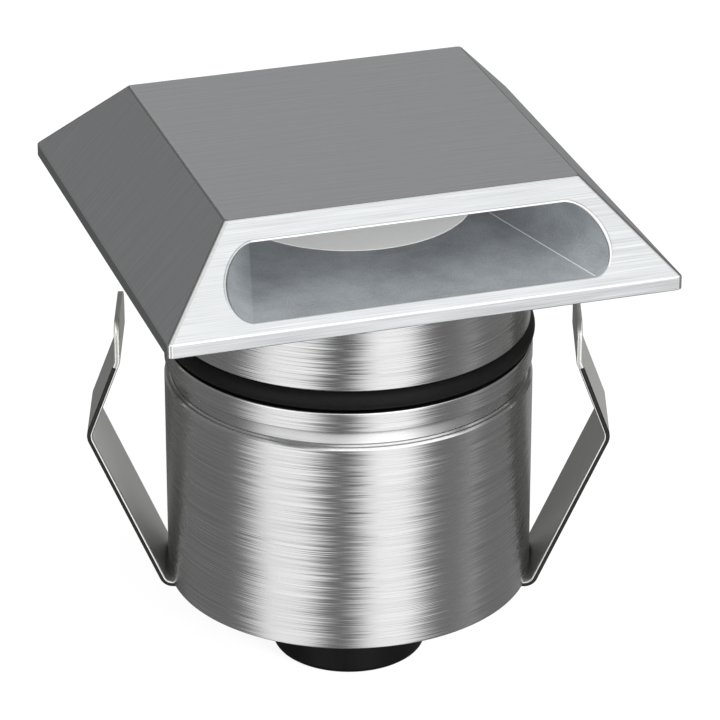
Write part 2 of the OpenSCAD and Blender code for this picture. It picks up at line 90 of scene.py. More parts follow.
def low_high(node: str) -> tuple[np.ndarray, np.ndarray]:
    """Gives a CAD node's box in millimetres.

    Args:
        node: Name of the CAD node.

    Returns:
        The lowest and the highest corner.
    """
    low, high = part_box(node)
    return np.array(low) / MM, np.array(high) / MM


def top_of(node: str) -> float:
    """Gives the height of a CAD node's highest point in millimetres."""
    return float(low_high(node)[1][2])


def low_of(node: str) -> float:
    """Gives the height of a CAD node's lowest point in millimetres."""
    return float(low_high(node)[0][2])


def reach_of(node: str) -> float:
    """Gives how far a CAD node reaches along +X in millimetres."""
    return float(low_high(node)[1][0])


def unit(vectors: np.ndarray) -> np.ndarray:
    """Scales vectors to length one along their last axis."""
    return vectors / np.maximum(np.linalg.norm(vectors, axis=-1, keepdims=True), 1e-12)


def smooth_step(x: np.ndarray) -> np.ndarray:
    """Rises smoothly from 0 to 1 while x goes from 0 to 1: 3 x^2 - 2 x^3."""
    x = np.clip(x, 0, 1)
    return x * x * (3 - 2 * x)


def rounded_line(corners: np.ndarray, closed: bool = False, steps: int = ARC_STEPS) -> np.ndarray:
    """Draws a line through corners, each rounded by an arc tangent to both of its sides.

    An arc of radius r that turns by t starts r tan(t / 2) before its corner. Its point at the
    angle a is start + r (sin a * direction + (1 - cos a) * normal).

    Args:
        corners: Rows of across, up and the corner's radius.
        closed: Whether the line comes back to its first corner.
        steps: Number of pieces of each arc.

    Returns:
        Points of the line, one row each.
    """
    spots, radii = corners[:, :2], corners[:, 2:]
    before, after = np.roll(spots, 1, axis=0), np.roll(spots, -1, axis=0)
    into, out = unit(spots - before), unit(after - spots)
    turn = np.arctan2(into[:, 0] * out[:, 1] - into[:, 1] * out[:, 0], np.sum(into * out, axis=1))[:, None]
    if not closed:
        turn[[0, -1]] = 0
    start = spots - into * radii * np.tan(np.abs(turn) / 2)
    normal = np.sign(turn) * np.stack([-into[:, 1], into[:, 0]], axis=1)
    angle = np.abs(turn) * np.linspace(0, 1, steps + 1)[None, :]
    arcs = start[:, None] + radii[:, None] * (
        np.sin(angle)[..., None] * into[:, None] + (1 - np.cos(angle))[..., None] * normal[:, None]
    )
    line = arcs.reshape(-1, 2)
    step = np.linalg.norm(np.diff(line, axis=0), axis=1)
    return line[np.concatenate([[True], step > 1e-5])]


def turn_points(points: np.ndarray, degrees: float) -> np.ndarray:
    """Turns points about the Z axis by an angle in degrees."""
    c, s = math.cos(math.radians(degrees)), math.sin(math.radians(degrees))
    turned = points.copy()
    turned[..., 0] = points[..., 0] * c - points[..., 1] * s
    turned[..., 1] = points[..., 0] * s + points[..., 1] * c
    return turned


def lathe(profile: np.ndarray, angles: np.ndarray) -> np.ndarray:
    """Turns a profile round the Z axis: x = r cos a, y = r sin a.

    Args:
        profile: Rows of radius and height.
        angles: Angles in radians, one for each column.

    Returns:
        Grid of points, rows along the profile and columns round the axis.
    """
    radius, height = profile[:, :1], profile[:, 1:]
    return np.stack(
        [radius * np.cos(angles), radius * np.sin(angles), np.repeat(height, len(angles), 1)], axis=-1
    )


def even_angles(count: int = TURNS) -> np.ndarray:
    """Gives evenly spaced angles of one full turn, in radians."""
    return np.arange(count) * 2 * np.pi / count


def between(a: np.ndarray, b: np.ndarray, shares: np.ndarray) -> np.ndarray:
    """Joins two rows of points by straight lines.

    Args:
        a: Points that share 0 gives.
        b: Points that share 1 gives.
        shares: Shares of the way, one for each row of the result.

    Returns:
        Grid with one row for each share.
    """
    return a[None] + (b - a)[None] * shares[:, None, None]


def at_height(plan: np.ndarray, z: float | np.ndarray) -> np.ndarray:
    """Gives plan points a height, so that they are points in space."""
    return np.concatenate([plan, np.broadcast_to(z, plan.shape[:-1])[..., None]], axis=-1)


class Shell:
    """Closed surface under construction: grids and zipped rings that share their borders."""

    def __init__(self) -> None:
        """Starts an empty shell."""
        self.points: list[np.ndarray] = []
        self.faces: list[list[int]] = []
        self.slots: list[np.ndarray] = []
        self.maps: list[np.ndarray] = []
        self.count = 0

    def add_faces(
        self, points: np.ndarray, faces: np.ndarray, slot: int | np.ndarray, uv: np.ndarray | None = None
    ) -> None:
        """Adds points and the faces on them.

        Args:
            points: Points in millimetres, one row each.
            faces: Indices into the points, one row for each face.
            slot: Place of the finish in the piece's list, for all faces or one for each.
            uv: Surface map of the points, or None where the finish needs none.
        """
        uv = np.zeros((len(points), 2)) if uv is None else uv
        self.points.append(points)
        self.faces.extend((faces + self.count).tolist())
        self.slots.append(np.broadcast_to(slot, len(faces)))
        self.maps.append(uv[faces].reshape(-1, 2))
        self.count += len(points)

    def add_grid(
        self,
        grid: np.ndarray,
        wrap_rows: bool = False,
        wrap_columns: bool = False,
        slot: int | np.ndarray = 0,
        uv: np.ndarray | None = None,
    ) -> None:
        """Adds a grid of points with a four-sided face in each of its meshes.

        Args:
            grid: Points, rows by columns by 3.
            wrap_rows: Whether the last row joins the first.
            wrap_columns: Whether the last column joins the first.
            slot: Place of the finish, for all faces or an array that spreads over the meshes.
            uv: Surface map of the grid, rows by columns by 2.
        """
        rows, columns = grid.shape[:2]
        index = np.arange(rows * columns).reshape(rows, columns)
        index = np.concatenate([index, index[:1]]) if wrap_rows else index
        index = np.concatenate([index, index[:, :1]], axis=1) if wrap_columns else index
        faces = np.stack([index[:-1, :-1], index[:-1, 1:], index[1:, 1:], index[1:, :-1]], axis=-1)
        slot = np.broadcast_to(slot, faces.shape[:2]).reshape(-1)
        self.add_faces(
            grid.reshape(-1, 3), faces.reshape(-1, 4), slot, None if uv is None else uv.reshape(-1, 2)
        )

    def add_zip(self, inner: np.ndarray, outer: np.ndarray, centre: tuple[float, float] = (0, 0)) -> None:
        """Fills the ring between two closed lines that both go round a centre anticlockwise.

        The two lines' angles are sorted into one row. Each step along either line adds the triangle
        between that step and the point that the other line has reached.

        Args:
            inner: Points of one line.
            outer: Points of the other line.
            centre: Place in plan that both lines go round.
        """
        loops, angles = [], []
        for loop in (inner, outer):
            angle = np.arctan2(loop[:, 1] - centre[1], loop[:, 0] - centre[0])
            first = int(np.argmin(np.round(angle, 7)))
            loops.append(np.roll(loop, -first, axis=0))
            angle = np.unwrap(np.roll(angle, -first))
            angles.append(np.append(angle[1:], angle[0] + 2 * np.pi))
        n, m = len(inner), len(outer)
        order = np.argsort(np.concatenate(angles), kind="stable")
        from_inner = order < n
        i = np.cumsum(from_inner) - from_inner
        j = np.cumsum(~from_inner) - ~from_inner
        third = np.where(from_inner, (i + 1) % n, n + (j + 1) % m)
        faces = np.stack([i % n, n + j % m, third], axis=1)
        self.add_faces(np.concatenate(loops), faces, 0)

    def build(self, name: str, finishes: tuple[Finish, ...]) -> bpy.types.Object:
        """Makes the object, joins the borders and points all faces outwards.

        Args:
            name: Name of the piece.
            finishes: Finishes of the piece's slots.

        Returns:
            The new object, at the origin.
        """
        mesh = bpy.data.meshes.new(name)
        mesh.from_pydata((np.concatenate(self.points) * MM).tolist(), [], self.faces)
        mesh.polygons.foreach_set("material_index", np.concatenate(self.slots).astype(np.int32))
        layer = mesh.uv_layers.new(name="surface")
        layer.data.foreach_set("uv", np.concatenate(self.maps).astype(np.float32).ravel())
        work = bmesh.new()
        work.from_mesh(mesh)
        bmesh.ops.remove_doubles(work, verts=work.verts, dist=2e-6)
        bmesh.ops.recalc_face_normals(work, faces=work.faces)
        work.to_mesh(mesh)
        work.free()
        mesh.shade_smooth()
        mesh.set_sharp_from_angle(angle=math.radians(SHARP_ANGLE))
        for finish in finishes:
            mesh.materials.append(finish.material())
        piece = bpy.data.objects.new(name, mesh)
        bpy.context.scene.collection.objects.link(piece)
        even = piece.modifiers.new("even_normals", "WEIGHTED_NORMAL")
        even.keep_sharp = True
        edge = np.zeros(len(mesh.loops), np.int32)
        mesh.loops.foreach_get("edge_index", edge)
        open_edges = int(np.sum(np.bincount(edge, minlength=len(mesh.edges)) != 2))
        log.info("%s: %d faces, %d open edges", name, len(mesh.polygons), open_edges)
        return piece


def lathe_piece(
    name: str,
    profile: np.ndarray,
    finishes: tuple[Finish, ...],
    closed: bool = True,
    slot: int | np.ndarray = 0,
) -> bpy.types.Object:
    """Makes a turned piece.

    Args:
        name: Name of the piece.
        profile: Rows of radius and height, a closed line or one from axis to axis.
        finishes: Finishes of the piece's slots.
        closed: Whether the profile comes back to its first point.
        slot: Place of the finish in the list, for all faces or one for each step of the profile.

    Returns:
        The new object.
    """
    shell = Shell()
    shell.add_grid(lathe(profile, even_angles()), wrap_rows=closed, wrap_columns=True, slot=slot)
    return shell.build(name, finishes)


def step_middles(profile: np.ndarray) -> tuple[np.ndarray, np.ndarray]:
    """Gives the middles of a closed profile's steps: radii and heights, one column each."""
    middle = (profile + np.roll(profile, -1, axis=0)) / 2
    return middle[:, :1], middle[:, 1:]


def hex_colour(text: str) -> tuple[float, float, float, float]:
    """Turns an sRGB hex colour to linear red, green, blue and alpha.

    Args:
        text: Six hex digits after a hash sign.

    Returns:
        Linear colour with alpha 1.
    """
    srgb = np.array([int(text[i : i + 2], 16) for i in (1, 3, 5)]) / 255
    linear = np.where(srgb <= 0.04045, srgb / 12.92, ((srgb + 0.055) / 1.055) ** 2.4)
    return (*linear.tolist(), 1.0)


def add_node(tree: bpy.types.NodeTree, kind: str, links: dict | None = None, **settings) -> bpy.types.Node:
    """Adds one shader node.

    Args:
        tree: Node tree that gets the node.
        kind: Node type, without its ShaderNode prefix.
        links: Input names or numbers, each with a value or with an output socket to link.
        settings: Properties of the node.

    Returns:
        The new node.
    """
    node = tree.nodes.new("ShaderNode" + kind)
    for key, value in settings.items():
        setattr(node, key, value)
    for key, value in (links or {}).items():
        if isinstance(value, bpy.types.NodeSocket):
            tree.links.new(value, node.inputs[key])
        else:
            node.inputs[key].default_value = value
    return node


# Length in millimetres that one unit of a surface map stands for
MAP_SPAN = 100.0
# Parts of a noise's span that colours, and roughness and sway, are spread over
COLOUR_BAND = (0.32, 0.68)
NOISE_BAND = (0.3, 0.7)


class Pattern(Enum):
    """How a finish's texture runs over its surface."""

    TURNED = "turned"
    MAPPED = "mapped"
    GRAIN = "grain"
    CLOUDY = "cloudy"


@dataclass(frozen=True)
class Finish:
    """A surface finish as a procedural material.

    Two noises of real sizes mix two colours, set the roughness and raise the surface. On turned
    work they are drawn out round the axis, and on mapped work along the surface map's U. The sway
    leans each grain line's normal a little along the grain, so that reflections fray at their edges.
    """

    name: str
    colour: str
    other_colour: str
    pattern: Pattern
    pitch_mm: float
    length_mm: float
    roughness: tuple[float, float]
    relief_mm: float = 0.0
    metallic: float = 0.0
    anisotropic: float = 0.0
    specular: float = 0.5
    transmission: float = 0.0
    coat: float = 0.0
    sway: float = 0.0
    wide_share: float = 0.18

    def scales(self) -> tuple[tuple[float, float, float], float]:
        """Gives the pattern's stretch for the fine noise, and how much coarser the wide one is."""
        fine, long = 1 / (self.pitch_mm * MM), 1 / (self.length_mm * MM)
        if self.pattern is Pattern.TURNED:
            return (long, long, fine), 0.35
        if self.pattern is Pattern.MAPPED:
            return (long * MAP_SPAN * MM, fine * MAP_SPAN * MM, 1.0), 0.35
        return (fine, fine, fine), 0.03 if self.pattern is Pattern.CLOUDY else 0.2

    def material(self) -> bpy.types.Material:
        """Builds the material.

        Returns:
            The material, with every pattern on Object coordinates or on the surface map.
        """
        made = bpy.data.materials.new(self.name)
        made.use_nodes = True
        tree = made.node_tree
        shader = tree.nodes["Principled BSDF"]
        place = add_node(tree, "TexCoord")
        source = place.outputs["UV" if self.pattern is Pattern.MAPPED else "Object"]
        stretch, coarse = self.scales()
        noises = []
        for scale, detail in ((1.0, 3.0), (coarse, 4.0)):
            mapped = add_node(tree, "Mapping", {"Vector": source, "Scale": [s * scale for s in stretch]})
            noise = add_node(
                tree,
                "TexNoise",
                {"Vector": mapped.outputs[0], "Scale": 1.0, "Detail": detail, "Roughness": 0.6},
            )
            noises.append(noise.outputs["Fac"])
        both = add_node(
            tree,
            "Mix",
            {"Factor": self.wide_share, "A": noises[0], "B": noises[1]},
            data_type="FLOAT",
        ).outputs["Result"]
        spread = add_node(
            tree,
            "MapRange",
            {"Value": both, "From Min": COLOUR_BAND[0], "From Max": COLOUR_BAND[1],
             "To Min": 0.0, "To Max": 1.0},
        ).outputs["Result"]
        colour = add_node(tree, "Mix", {"Factor": spread}, data_type="RGBA")
        for key, text in (("A", self.colour), ("B", self.other_colour)):
            socket = next(s for s in colour.inputs if s.name == key and s.type == "RGBA")
            socket.default_value = hex_colour(text)
        tree.links.new(next(s for s in colour.outputs if s.type == "RGBA"), shader.inputs["Base Color"])
        rough = add_node(
            tree,
            "MapRange",
            {"Value": both, "From Min": NOISE_BAND[0], "From Max": NOISE_BAND[1],
             "To Min": self.roughness[0], "To Max": self.roughness[1]},
        )
        tree.links.new(rough.outputs["Result"], shader.inputs["Roughness"])
        normal = add_node(tree, "NewGeometry").outputs["Normal"]
        if self.anisotropic:
            if self.pattern is Pattern.MAPPED:
                way = {"direction_type": "UV_MAP", "uv_map": "surface"}
            else:
                way = {"direction_type": "RADIAL", "axis": "Z"}
            tangent = add_node(tree, "Tangent", **way).outputs["Tangent"]
            tree.links.new(tangent, shader.inputs["Tangent"])
            shader.inputs["Anisotropic Rotation"].default_value = 0.25
            lean = add_node(
                tree,
                "MapRange",
                {"Value": noises[0], "From Min": NOISE_BAND[0], "From Max": NOISE_BAND[1],
                 "To Min": -self.sway, "To Max": self.sway},
            ).outputs["Result"]
            push = add_node(tree, "VectorMath", {0: tangent, "Scale": lean}, operation="SCALE")
            moved = add_node(tree, "VectorMath", {0: normal, 1: push.outputs[0]}, operation="ADD")
            normal = add_node(tree, "VectorMath", {0: moved.outputs[0]}, operation="NORMALIZE").outputs[0]
        if self.relief_mm:
            normal = add_node(
                tree,
                "Bump",
                {"Height": both, "Distance": self.relief_mm * MM, "Strength": 1.0, "Normal": normal},
            ).outputs["Normal"]
        tree.links.new(normal, shader.inputs["Normal"])
        for key, value in (
            ("Metallic", self.metallic),
            ("Anisotropic", self.anisotropic),
            ("Specular IOR Level", self.specular),
            ("Transmission Weight", self.transmission),
            ("Coat Weight", self.coat),
        ):
            shader.inputs[key].default_value = value
        return made


# Stainless steel with a linished grain: highlights are drawn out across the grain
BRUSHED_HEAD = Finish(
    "stainless_steel_brushed_along", "#d1d3d4", "#b1b3b4", Pattern.MAPPED, 0.17, 18.0, (0.3, 0.4),
    relief_mm=0.0003, metallic=1.0, anisotropic=0.85, sway=0.03,
)
BRUSHED_TURNED = Finish(
    "stainless_steel_brushed_round", "#d9d9d9", "#b6b6b6", Pattern.TURNED, 0.11, 26.0, (0.22, 0.34),
    relief_mm=0.0003, metallic=1.0, anisotropic=0.9, sway=0.1,
)
# The groove's wall is faced smooth, and its narrow ledges keep the tool's marks
FACED_LEDGE = Finish(
    "stainless_steel_faced_ledge", "#dcdcdc", "#d0d0d0", Pattern.TURNED, 0.3, 20.0, (0.5, 0.58),
    metallic=1.0, anisotropic=0.85,
)
FACED_GROOVE = Finish(
    "stainless_steel_faced", "#c2c2c2", "#bababa", Pattern.TURNED, 0.3, 20.0, (0.24, 0.3),
    metallic=1.0, anisotropic=0.3,
)
# Edges are rounded with a fine belt, which leaves a thin clear highlight
POLISHED_EDGE = Finish(
    "stainless_steel_polished_edge", "#dedede", "#d4d4d4", Pattern.GRAIN, 0.6, 1.0, (0.18, 0.24),
    metallic=1.0,
)
# The hips and the top edge take a darker steel than the polished edges: painted shade that keeps their
# highlight greyer
EDGE_PAINTED_SHADE = Finish(
    "stainless_steel_edge_painted_shade", "#bcbcbc", "#b2b2b2", Pattern.GRAIN, 0.6, 1.0, (0.22, 0.28),
    metallic=1.0,
)
# The bead in the right seam between the chamber's floor and its side is a pale, less metallic steel: a
# painted highlight along that crease
SEAM_PAINTED_HIGHLIGHT = Finish(
    "stainless_steel_seam_painted_highlight", "#ccd0d2", "#c2c6c8", Pattern.GRAIN, 0.3, 1.0, (0.35, 0.45),
    metallic=0.2,
)
# The chamber is bead blasted, which scatters the light softly and looks a little blue
BLASTED_CHAMBER = Finish(
    "stainless_steel_bead_blasted", "#a9aeb2", "#7c8185", Pattern.CLOUDY, 0.25, 1.0, (0.34, 0.5),
    relief_mm=0.003, metallic=0.35, wide_share=0.55,
)
# Spring steel strip comes off cold rolls: smooth, with a faint grain along its length
ROLLED_STRIP = Finish(
    "spring_steel_cold_rolled", "#d9d9d4", "#d7d7d2", Pattern.MAPPED, 0.9, 20.0, (0.3, 0.31),
    relief_mm=0.0002, metallic=0.9, anisotropic=0.2,
)
# The strip's thickness faces and the corners on one side take a near-black steel: painted shade on its edges
STRIP_EDGE_PAINTED_SHADE = Finish(
    "spring_steel_strip_edge_painted_shade", "#43413e", "#393735", Pattern.GRAIN, 0.8, 1.0, (0.4, 0.5),
    relief_mm=0.001, metallic=1.0,
)
# Frosted glass scatters all that passes through it, so it looks like a pale matte disc
FROSTED_GLASS = Finish(
    "borosilicate_glass_frosted", "#ebebe9", "#e3e3e1", Pattern.GRAIN, 0.2, 1.0, (0.5, 0.6),
    relief_mm=0.002, transmission=0.05,
)
# Nitrile rubber is dull and almost black, with a slight bloom
BLACK_RUBBER = Finish(
    "nitrile_rubber_moulded", "#070707", "#0c0c0c", Pattern.GRAIN, 0.8, 1.0, (0.45, 0.6), relief_mm=0.003,
    specular=0.14,
)
# Nylon from a spark-eroded mould has a fine even grain
BLACK_NYLON = Finish(
    "nylon_moulded_black", "#060606", "#0a0a0a", Pattern.GRAIN, 0.4, 1.0, (0.4, 0.5), relief_mm=0.005,
    specular=0.1,
)
# Screws and rings are turned and passivated stainless steel
TURNED_SCREW = Finish(
    "stainless_steel_turned", "#b4b4b0", "#a2a29e", Pattern.TURNED, 0.12, 3.0, (0.25, 0.35),
    relief_mm=0.001, metallic=1.0, anisotropic=0.4,
)
SPRING_RING = Finish(
    "spring_steel_phosphated", "#4c4a46", "#3b3936", Pattern.GRAIN, 0.3, 1.0, (0.4, 0.5),
    relief_mm=0.002, metallic=1.0,
)
ALUMINIUM = Finish(
    "aluminium_turned", "#cfd1d2", "#c1c3c4", Pattern.TURNED, 0.25, 6.0, (0.3, 0.4),
    relief_mm=0.0015, metallic=1.0, anisotropic=0.5,
)
WHITE_REFLECTOR = Finish(
    "polycarbonate_white_moulded", "#f0f0ec", "#e8e8e4", Pattern.GRAIN, 1.5, 1.0, (0.3, 0.4), relief_mm=0.002,
)
LAMP_BOARD = Finish(
    "aluminium_board_white_mask", "#e6e6e0", "#dcdcd5", Pattern.GRAIN, 1.2, 1.0, (0.35, 0.45),
    relief_mm=0.003,
)
LAMP_PHOSPHOR = Finish(
    "silicone_with_phosphor", "#e3bf3e", "#d2a92c", Pattern.GRAIN, 0.3, 1.0, (0.3, 0.4), relief_mm=0.004,
)
BRASS = Finish(
    "brass_turned", "#c7a25a", "#b28f4c", Pattern.TURNED, 0.15, 3.0, (0.22, 0.32),
    relief_mm=0.001, metallic=1.0, anisotropic=0.4,
)
CIRCUIT_BOARD = Finish(
    "glass_epoxy_green_mask", "#1f5a33", "#1a4a2b", Pattern.GRAIN, 1.6, 1.0, (0.25, 0.4), relief_mm=0.01,
    coat=0.3,
)
COIL_WIRE = Finish(
    "copper_wire_enamelled", "#a85f2c", "#7d4520", Pattern.TURNED, 0.6, 30.0, (0.25, 0.35), relief_mm=0.08,
    metallic=0.7,
)
CAPACITOR_SLEEVE = Finish(
    "pvc_sleeve_shrunk", "#22242c", "#1c1d24", Pattern.GRAIN, 1.5, 1.0, (0.28, 0.36), relief_mm=0.004,
)
CHIP_EPOXY = Finish(
    "epoxy_moulded_black", "#232323", "#1b1b1b", Pattern.GRAIN, 0.15, 1.0, (0.5, 0.6), relief_mm=0.003,
)
TERMINAL_GREEN = Finish(
    "polyamide_moulded_green", "#2f7d4a", "#276c3f", Pattern.GRAIN, 0.5, 1.0, (0.35, 0.45), relief_mm=0.004,
)


class HeadFace(IntEnum):
    """Places of the head's finishes in their list."""

    BRUSHED = 0
    CHAMBER = 1
    POLISHED = 2
    SEAM_HIGHLIGHT = 3
    EDGE_SHADE = 4


HEAD_FINISHES = (BRUSHED_HEAD, BLASTED_CHAMBER, POLISHED_EDGE, SEAM_PAINTED_HIGHLIGHT, EDGE_PAINTED_SHADE)


class TurnedFace(IntEnum):
    """Places of the still turned pieces' finishes in their list."""

    BRUSHED = 0
    GROOVE = 1
    POLISHED = 2
    LEDGE = 3


TURNED_FINISHES = (BRUSHED_TURNED, FACED_GROOVE, POLISHED_EDGE, FACED_LEDGE)


class StripFace(IntEnum):
    """Places of the spring strip's finishes in their list."""

    ROLLED = 0
    STRIP_SHADE = 1
    POLISHED = 2


STRIP_FINISHES = (ROLLED_STRIP, STRIP_EDGE_PAINTED_SHADE, POLISHED_EDGE)


@dataclass
class Head:
    """Square head that stands on the deck, with the light chamber cut into its front slope."""

    half_w: float = field(default_factory=lambda: reach_of("head_cover"))
    height: float = field(default_factory=lambda: top_of("head_cover"))
    flange_half_w: float = field(default_factory=lambda: reach_of("neck"))
    flange_t: float = field(default_factory=lambda: top_of("neck"))
    floor_z: float = field(default_factory=lambda: top_of("floor_plate"))
    top_half_w: float = 27.8
    rim_h: float = 2.2
    chamber_h: float = 8.95
    slot_half_w: float = 26.2
    round_over: float = 0.075
    well_r: float = 20.0
    well_step: float = 0.5
    sill_w: float = 2.4
    plate_lip: float = 1.5
    fit: float = 0.05
    hip_r: float = 0.65
    edge_r: float = 0.448
    foot_bevel: float = 0.2
    lip_r: float = 0.45
    line_w: float = 0.13
    seam_r: float = 0.1
    across: int = 32
    around: int = 30

    def slope_y(self, z: np.ndarray) -> np.ndarray:
        """Gives the front slope's place at a height: it leans back from the rim to the top."""
        lean = (self.half_w - self.top_half_w) / (self.height - self.rim_h)
        return -self.half_w + (z - self.rim_h) * lean

    def ring(self, half: np.ndarray, z: np.ndarray) -> np.ndarray:
        """Carries the head's section round a square path with small round corners.

        A row's path is a square of half width half whose corners are arcs of the radius hip_r.

        Args:
            half: Half widths, one for each row.
            z: Heights, one for each row.

        Returns:
            Grid of points. The front side's points come first, from left to right.
        """
        side = np.linspace(-1, 1, self.across + 1)
        arc = np.linspace(0, np.pi / 2, 12)[1:-1]
        r = np.minimum(self.hip_r, half)[:, None]
        flat = (half[:, None] - r) * side
        edge = np.broadcast_to(-half[:, None], flat.shape)
        middle = half[:, None] - r
        x = np.concatenate([flat, middle + r * np.sin(arc)], axis=1)
        y = np.concatenate([edge, -middle - r * np.cos(arc)], axis=1)
        turned = [np.stack(plan, axis=-1) for plan in ((x, y), (-y, x), (-x, -y), (y, -x))]
        return at_height(np.concatenate(turned, axis=1), z[:, None])

    def side_offset(self, z: np.ndarray) -> np.ndarray:
        """Gives how far a side wall stands outside its centre line: a circle's half chord at z."""
        r = self.chamber_h / 2 + self.round_over
        rise = z - self.floor_z - self.chamber_h / 2
        return np.sqrt(np.maximum(r * r - rise * rise, 0))

    def taper(self) -> float:
        """Gives the side walls' taper in radians, tangent to a circle round the axis."""
        r = self.well_r - self.chamber_h / 2 - self.round_over - self.well_step
        reach = math.hypot(self.slot_half_w, self.half_w)
        return math.atan2(self.slot_half_w, self.half_w) - math.asin(r / reach)

    def side_at(self, y: np.ndarray, offset: np.ndarray) -> np.ndarray:
        """Gives a side line's x at a depth y, moved out square to itself by an offset."""
        t = self.taper()
        return self.slot_half_w - (y + self.half_w) * math.tan(t) + offset / math.cos(t)

    def meets_well(self, offset: np.ndarray, radius: float) -> np.ndarray:
        """Gives the angle about the axis where a side line meets a circle round the axis.

        The line lies at the distance d from the axis and its normal points at minus the taper, so it
        meets the circle at minus the taper minus acos(d / radius), seen from the front.
        """
        t = self.taper()
        d = self.slot_half_w * math.cos(t) - self.half_w * math.sin(t) + offset
        return t - np.arccos(np.clip(d / radius, -1, 1))

    def chamber_rows(self) -> np.ndarray:
        """Gives the heights of the wall's rows, even steps round the side walls' circle."""
        r = self.chamber_h / 2 + self.round_over
        limit = math.asin(self.chamber_h / 2 / r)
        middle = self.floor_z + self.chamber_h / 2
        return middle + r * np.sin(np.linspace(-limit, limit, self.around + 1))

    def wall(self, z: np.ndarray, front: np.ndarray) -> np.ndarray:
        """Gives the right half of the chamber's wall, from the mouth to the middle of the back.

        Each row runs straight along the tapered side and then round the well.

        Args:
            z: Heights of the rows.
            front: Points where the rows start, one for each height.

        Returns:
            Grid of points, rows by height.
        """
        angle = self.meets_well(self.side_offset(z), self.well_r)
        corner = np.stack([self.well_r * np.cos(angle), self.well_r * np.sin(angle)], axis=1)
        sill_share = (-self.half_w + self.sill_w - self.fit - front[0, 1]) / (corner[0, 1] - front[0, 1])
        shares = np.concatenate([[0, sill_share], np.linspace(sill_share, 1, 8)[1:-1], [0.985]])
        straight = front[:, None, :2] + (corner - front[:, :2])[:, None] * shares[:, None]
        sweep = np.concatenate([[0, 0.006], np.linspace(0, 1, 26)[1:]])
        arc = angle[:, None] + (np.pi / 2 - angle[:, None]) * sweep
        round_part = self.well_r * np.stack([np.cos(arc), np.sin(arc)], axis=-1)
        return at_height(np.concatenate([straight, round_part], axis=1), z[:, None])

    def seam_bead(self, line: np.ndarray) -> np.ndarray:
        """Gives the rows of the fine half-round bead in the seam of the floor and the side wall.

        Its radius grows from nothing at the mouth and shrinks to nothing at the well. Its pale finish is a
        painted highlight along the crease.

        Args:
            line: The wall's lowest row.

        Returns:
            Rows from the bead's foot on the floor up to the wall's lowest row, which is left out.
        """
        straight = np.linalg.norm(line[:, :2], axis=1) > self.well_r + 1e-6
        share = np.cumsum(straight) / max(np.sum(straight), 1)
        size = self.seam_r * smooth_step(share * 12 - 1.5) * smooth_step((1 - share) * 8)
        angle = np.linspace(0, np.pi, 8)[:-1, None]
        rows = size * (1 + np.cos(angle))
        up = size * np.sin(angle)
        return line + np.stack([-rows, np.zeros_like(up), up], axis=-1)

    def mouth(self) -> np.ndarray:
        """Gives the mouth's sharp outline on the front slope, anticlockwise from its lower left."""
        z = self.chamber_rows()
        y = self.slope_y(z)
        right = np.stack([self.side_at(y, self.side_offset(z)), y, z], axis=1)
        left = right * [-1, 1, 1]
        side = np.linspace(0, 1, self.across + 1)[:-1]
        low = left[0] + (right[0] - left[0]) * side[:, None]
        high = right[-1] + (left[-1] - right[-1]) * side[:, None]
        return np.concatenate([low, right[:-1], high, left[:0:-1]])

    def add_slopes(self, shell: Shell) -> np.ndarray:
        """Adds the rim, the top and all slopes but the front one, which has the mouth in it.

        Args:
            shell: Shell that gets the faces.

        Returns:
            Grid of all four slopes' points, from the rim up and then round the head.
        """
        section = rounded_line(np.array([
            [self.half_w - self.foot_bevel, 0, 0],
            [self.half_w, self.foot_bevel, 0],
            [self.half_w, self.rim_h, self.edge_r],
            [self.top_half_w, self.height, self.edge_r],
            [0, self.height, 0],
        ]))
        steps = np.linalg.norm(np.diff(section[:-1], axis=0), axis=1)
        long_step = int(np.argmax(steps))
        low_part, high_part = section[: long_step + 1], section[long_step + 1 :]
        shares = np.linspace(0, 1, self.around + 1)[:, None]
        slope_rows = low_part[-1] + (high_part[0] - low_part[-1]) * shares
        skirt = self.ring(slope_rows[:, 0], slope_rows[:, 1])
        hip = np.arange(skirt.shape[1]) % (skirt.shape[1] // 4) >= self.across
        foot_edge = np.arange(len(low_part) - 1) >= len(low_part) - 1 - ARC_STEPS
        top_edge = np.arange(len(high_part) - 1) < ARC_STEPS
        # The top edge takes the darker steel, painted shade that dims its highlight
        for part, edge, edge_face, hip_face in (
            (low_part, foot_edge, HeadFace.POLISHED, HeadFace.POLISHED),
            (high_part, top_edge, HeadFace.EDGE_SHADE, HeadFace.BRUSHED),
        ):
            slot = np.where(edge[:, None], edge_face, np.where(hip, hip_face, HeadFace.BRUSHED))
            shell.add_grid(self.ring(part[:, 0], part[:, 1]), wrap_columns=True, slot=slot)
        # The side hips take the darker steel, painted shade that dims their highlight
        sides = np.concatenate([skirt[:, self.across :], skirt[:, :1]], axis=1)
        shell.add_grid(sides, slot=np.where(hip[self.across :], HeadFace.EDGE_SHADE, HeadFace.BRUSHED))
        return skirt

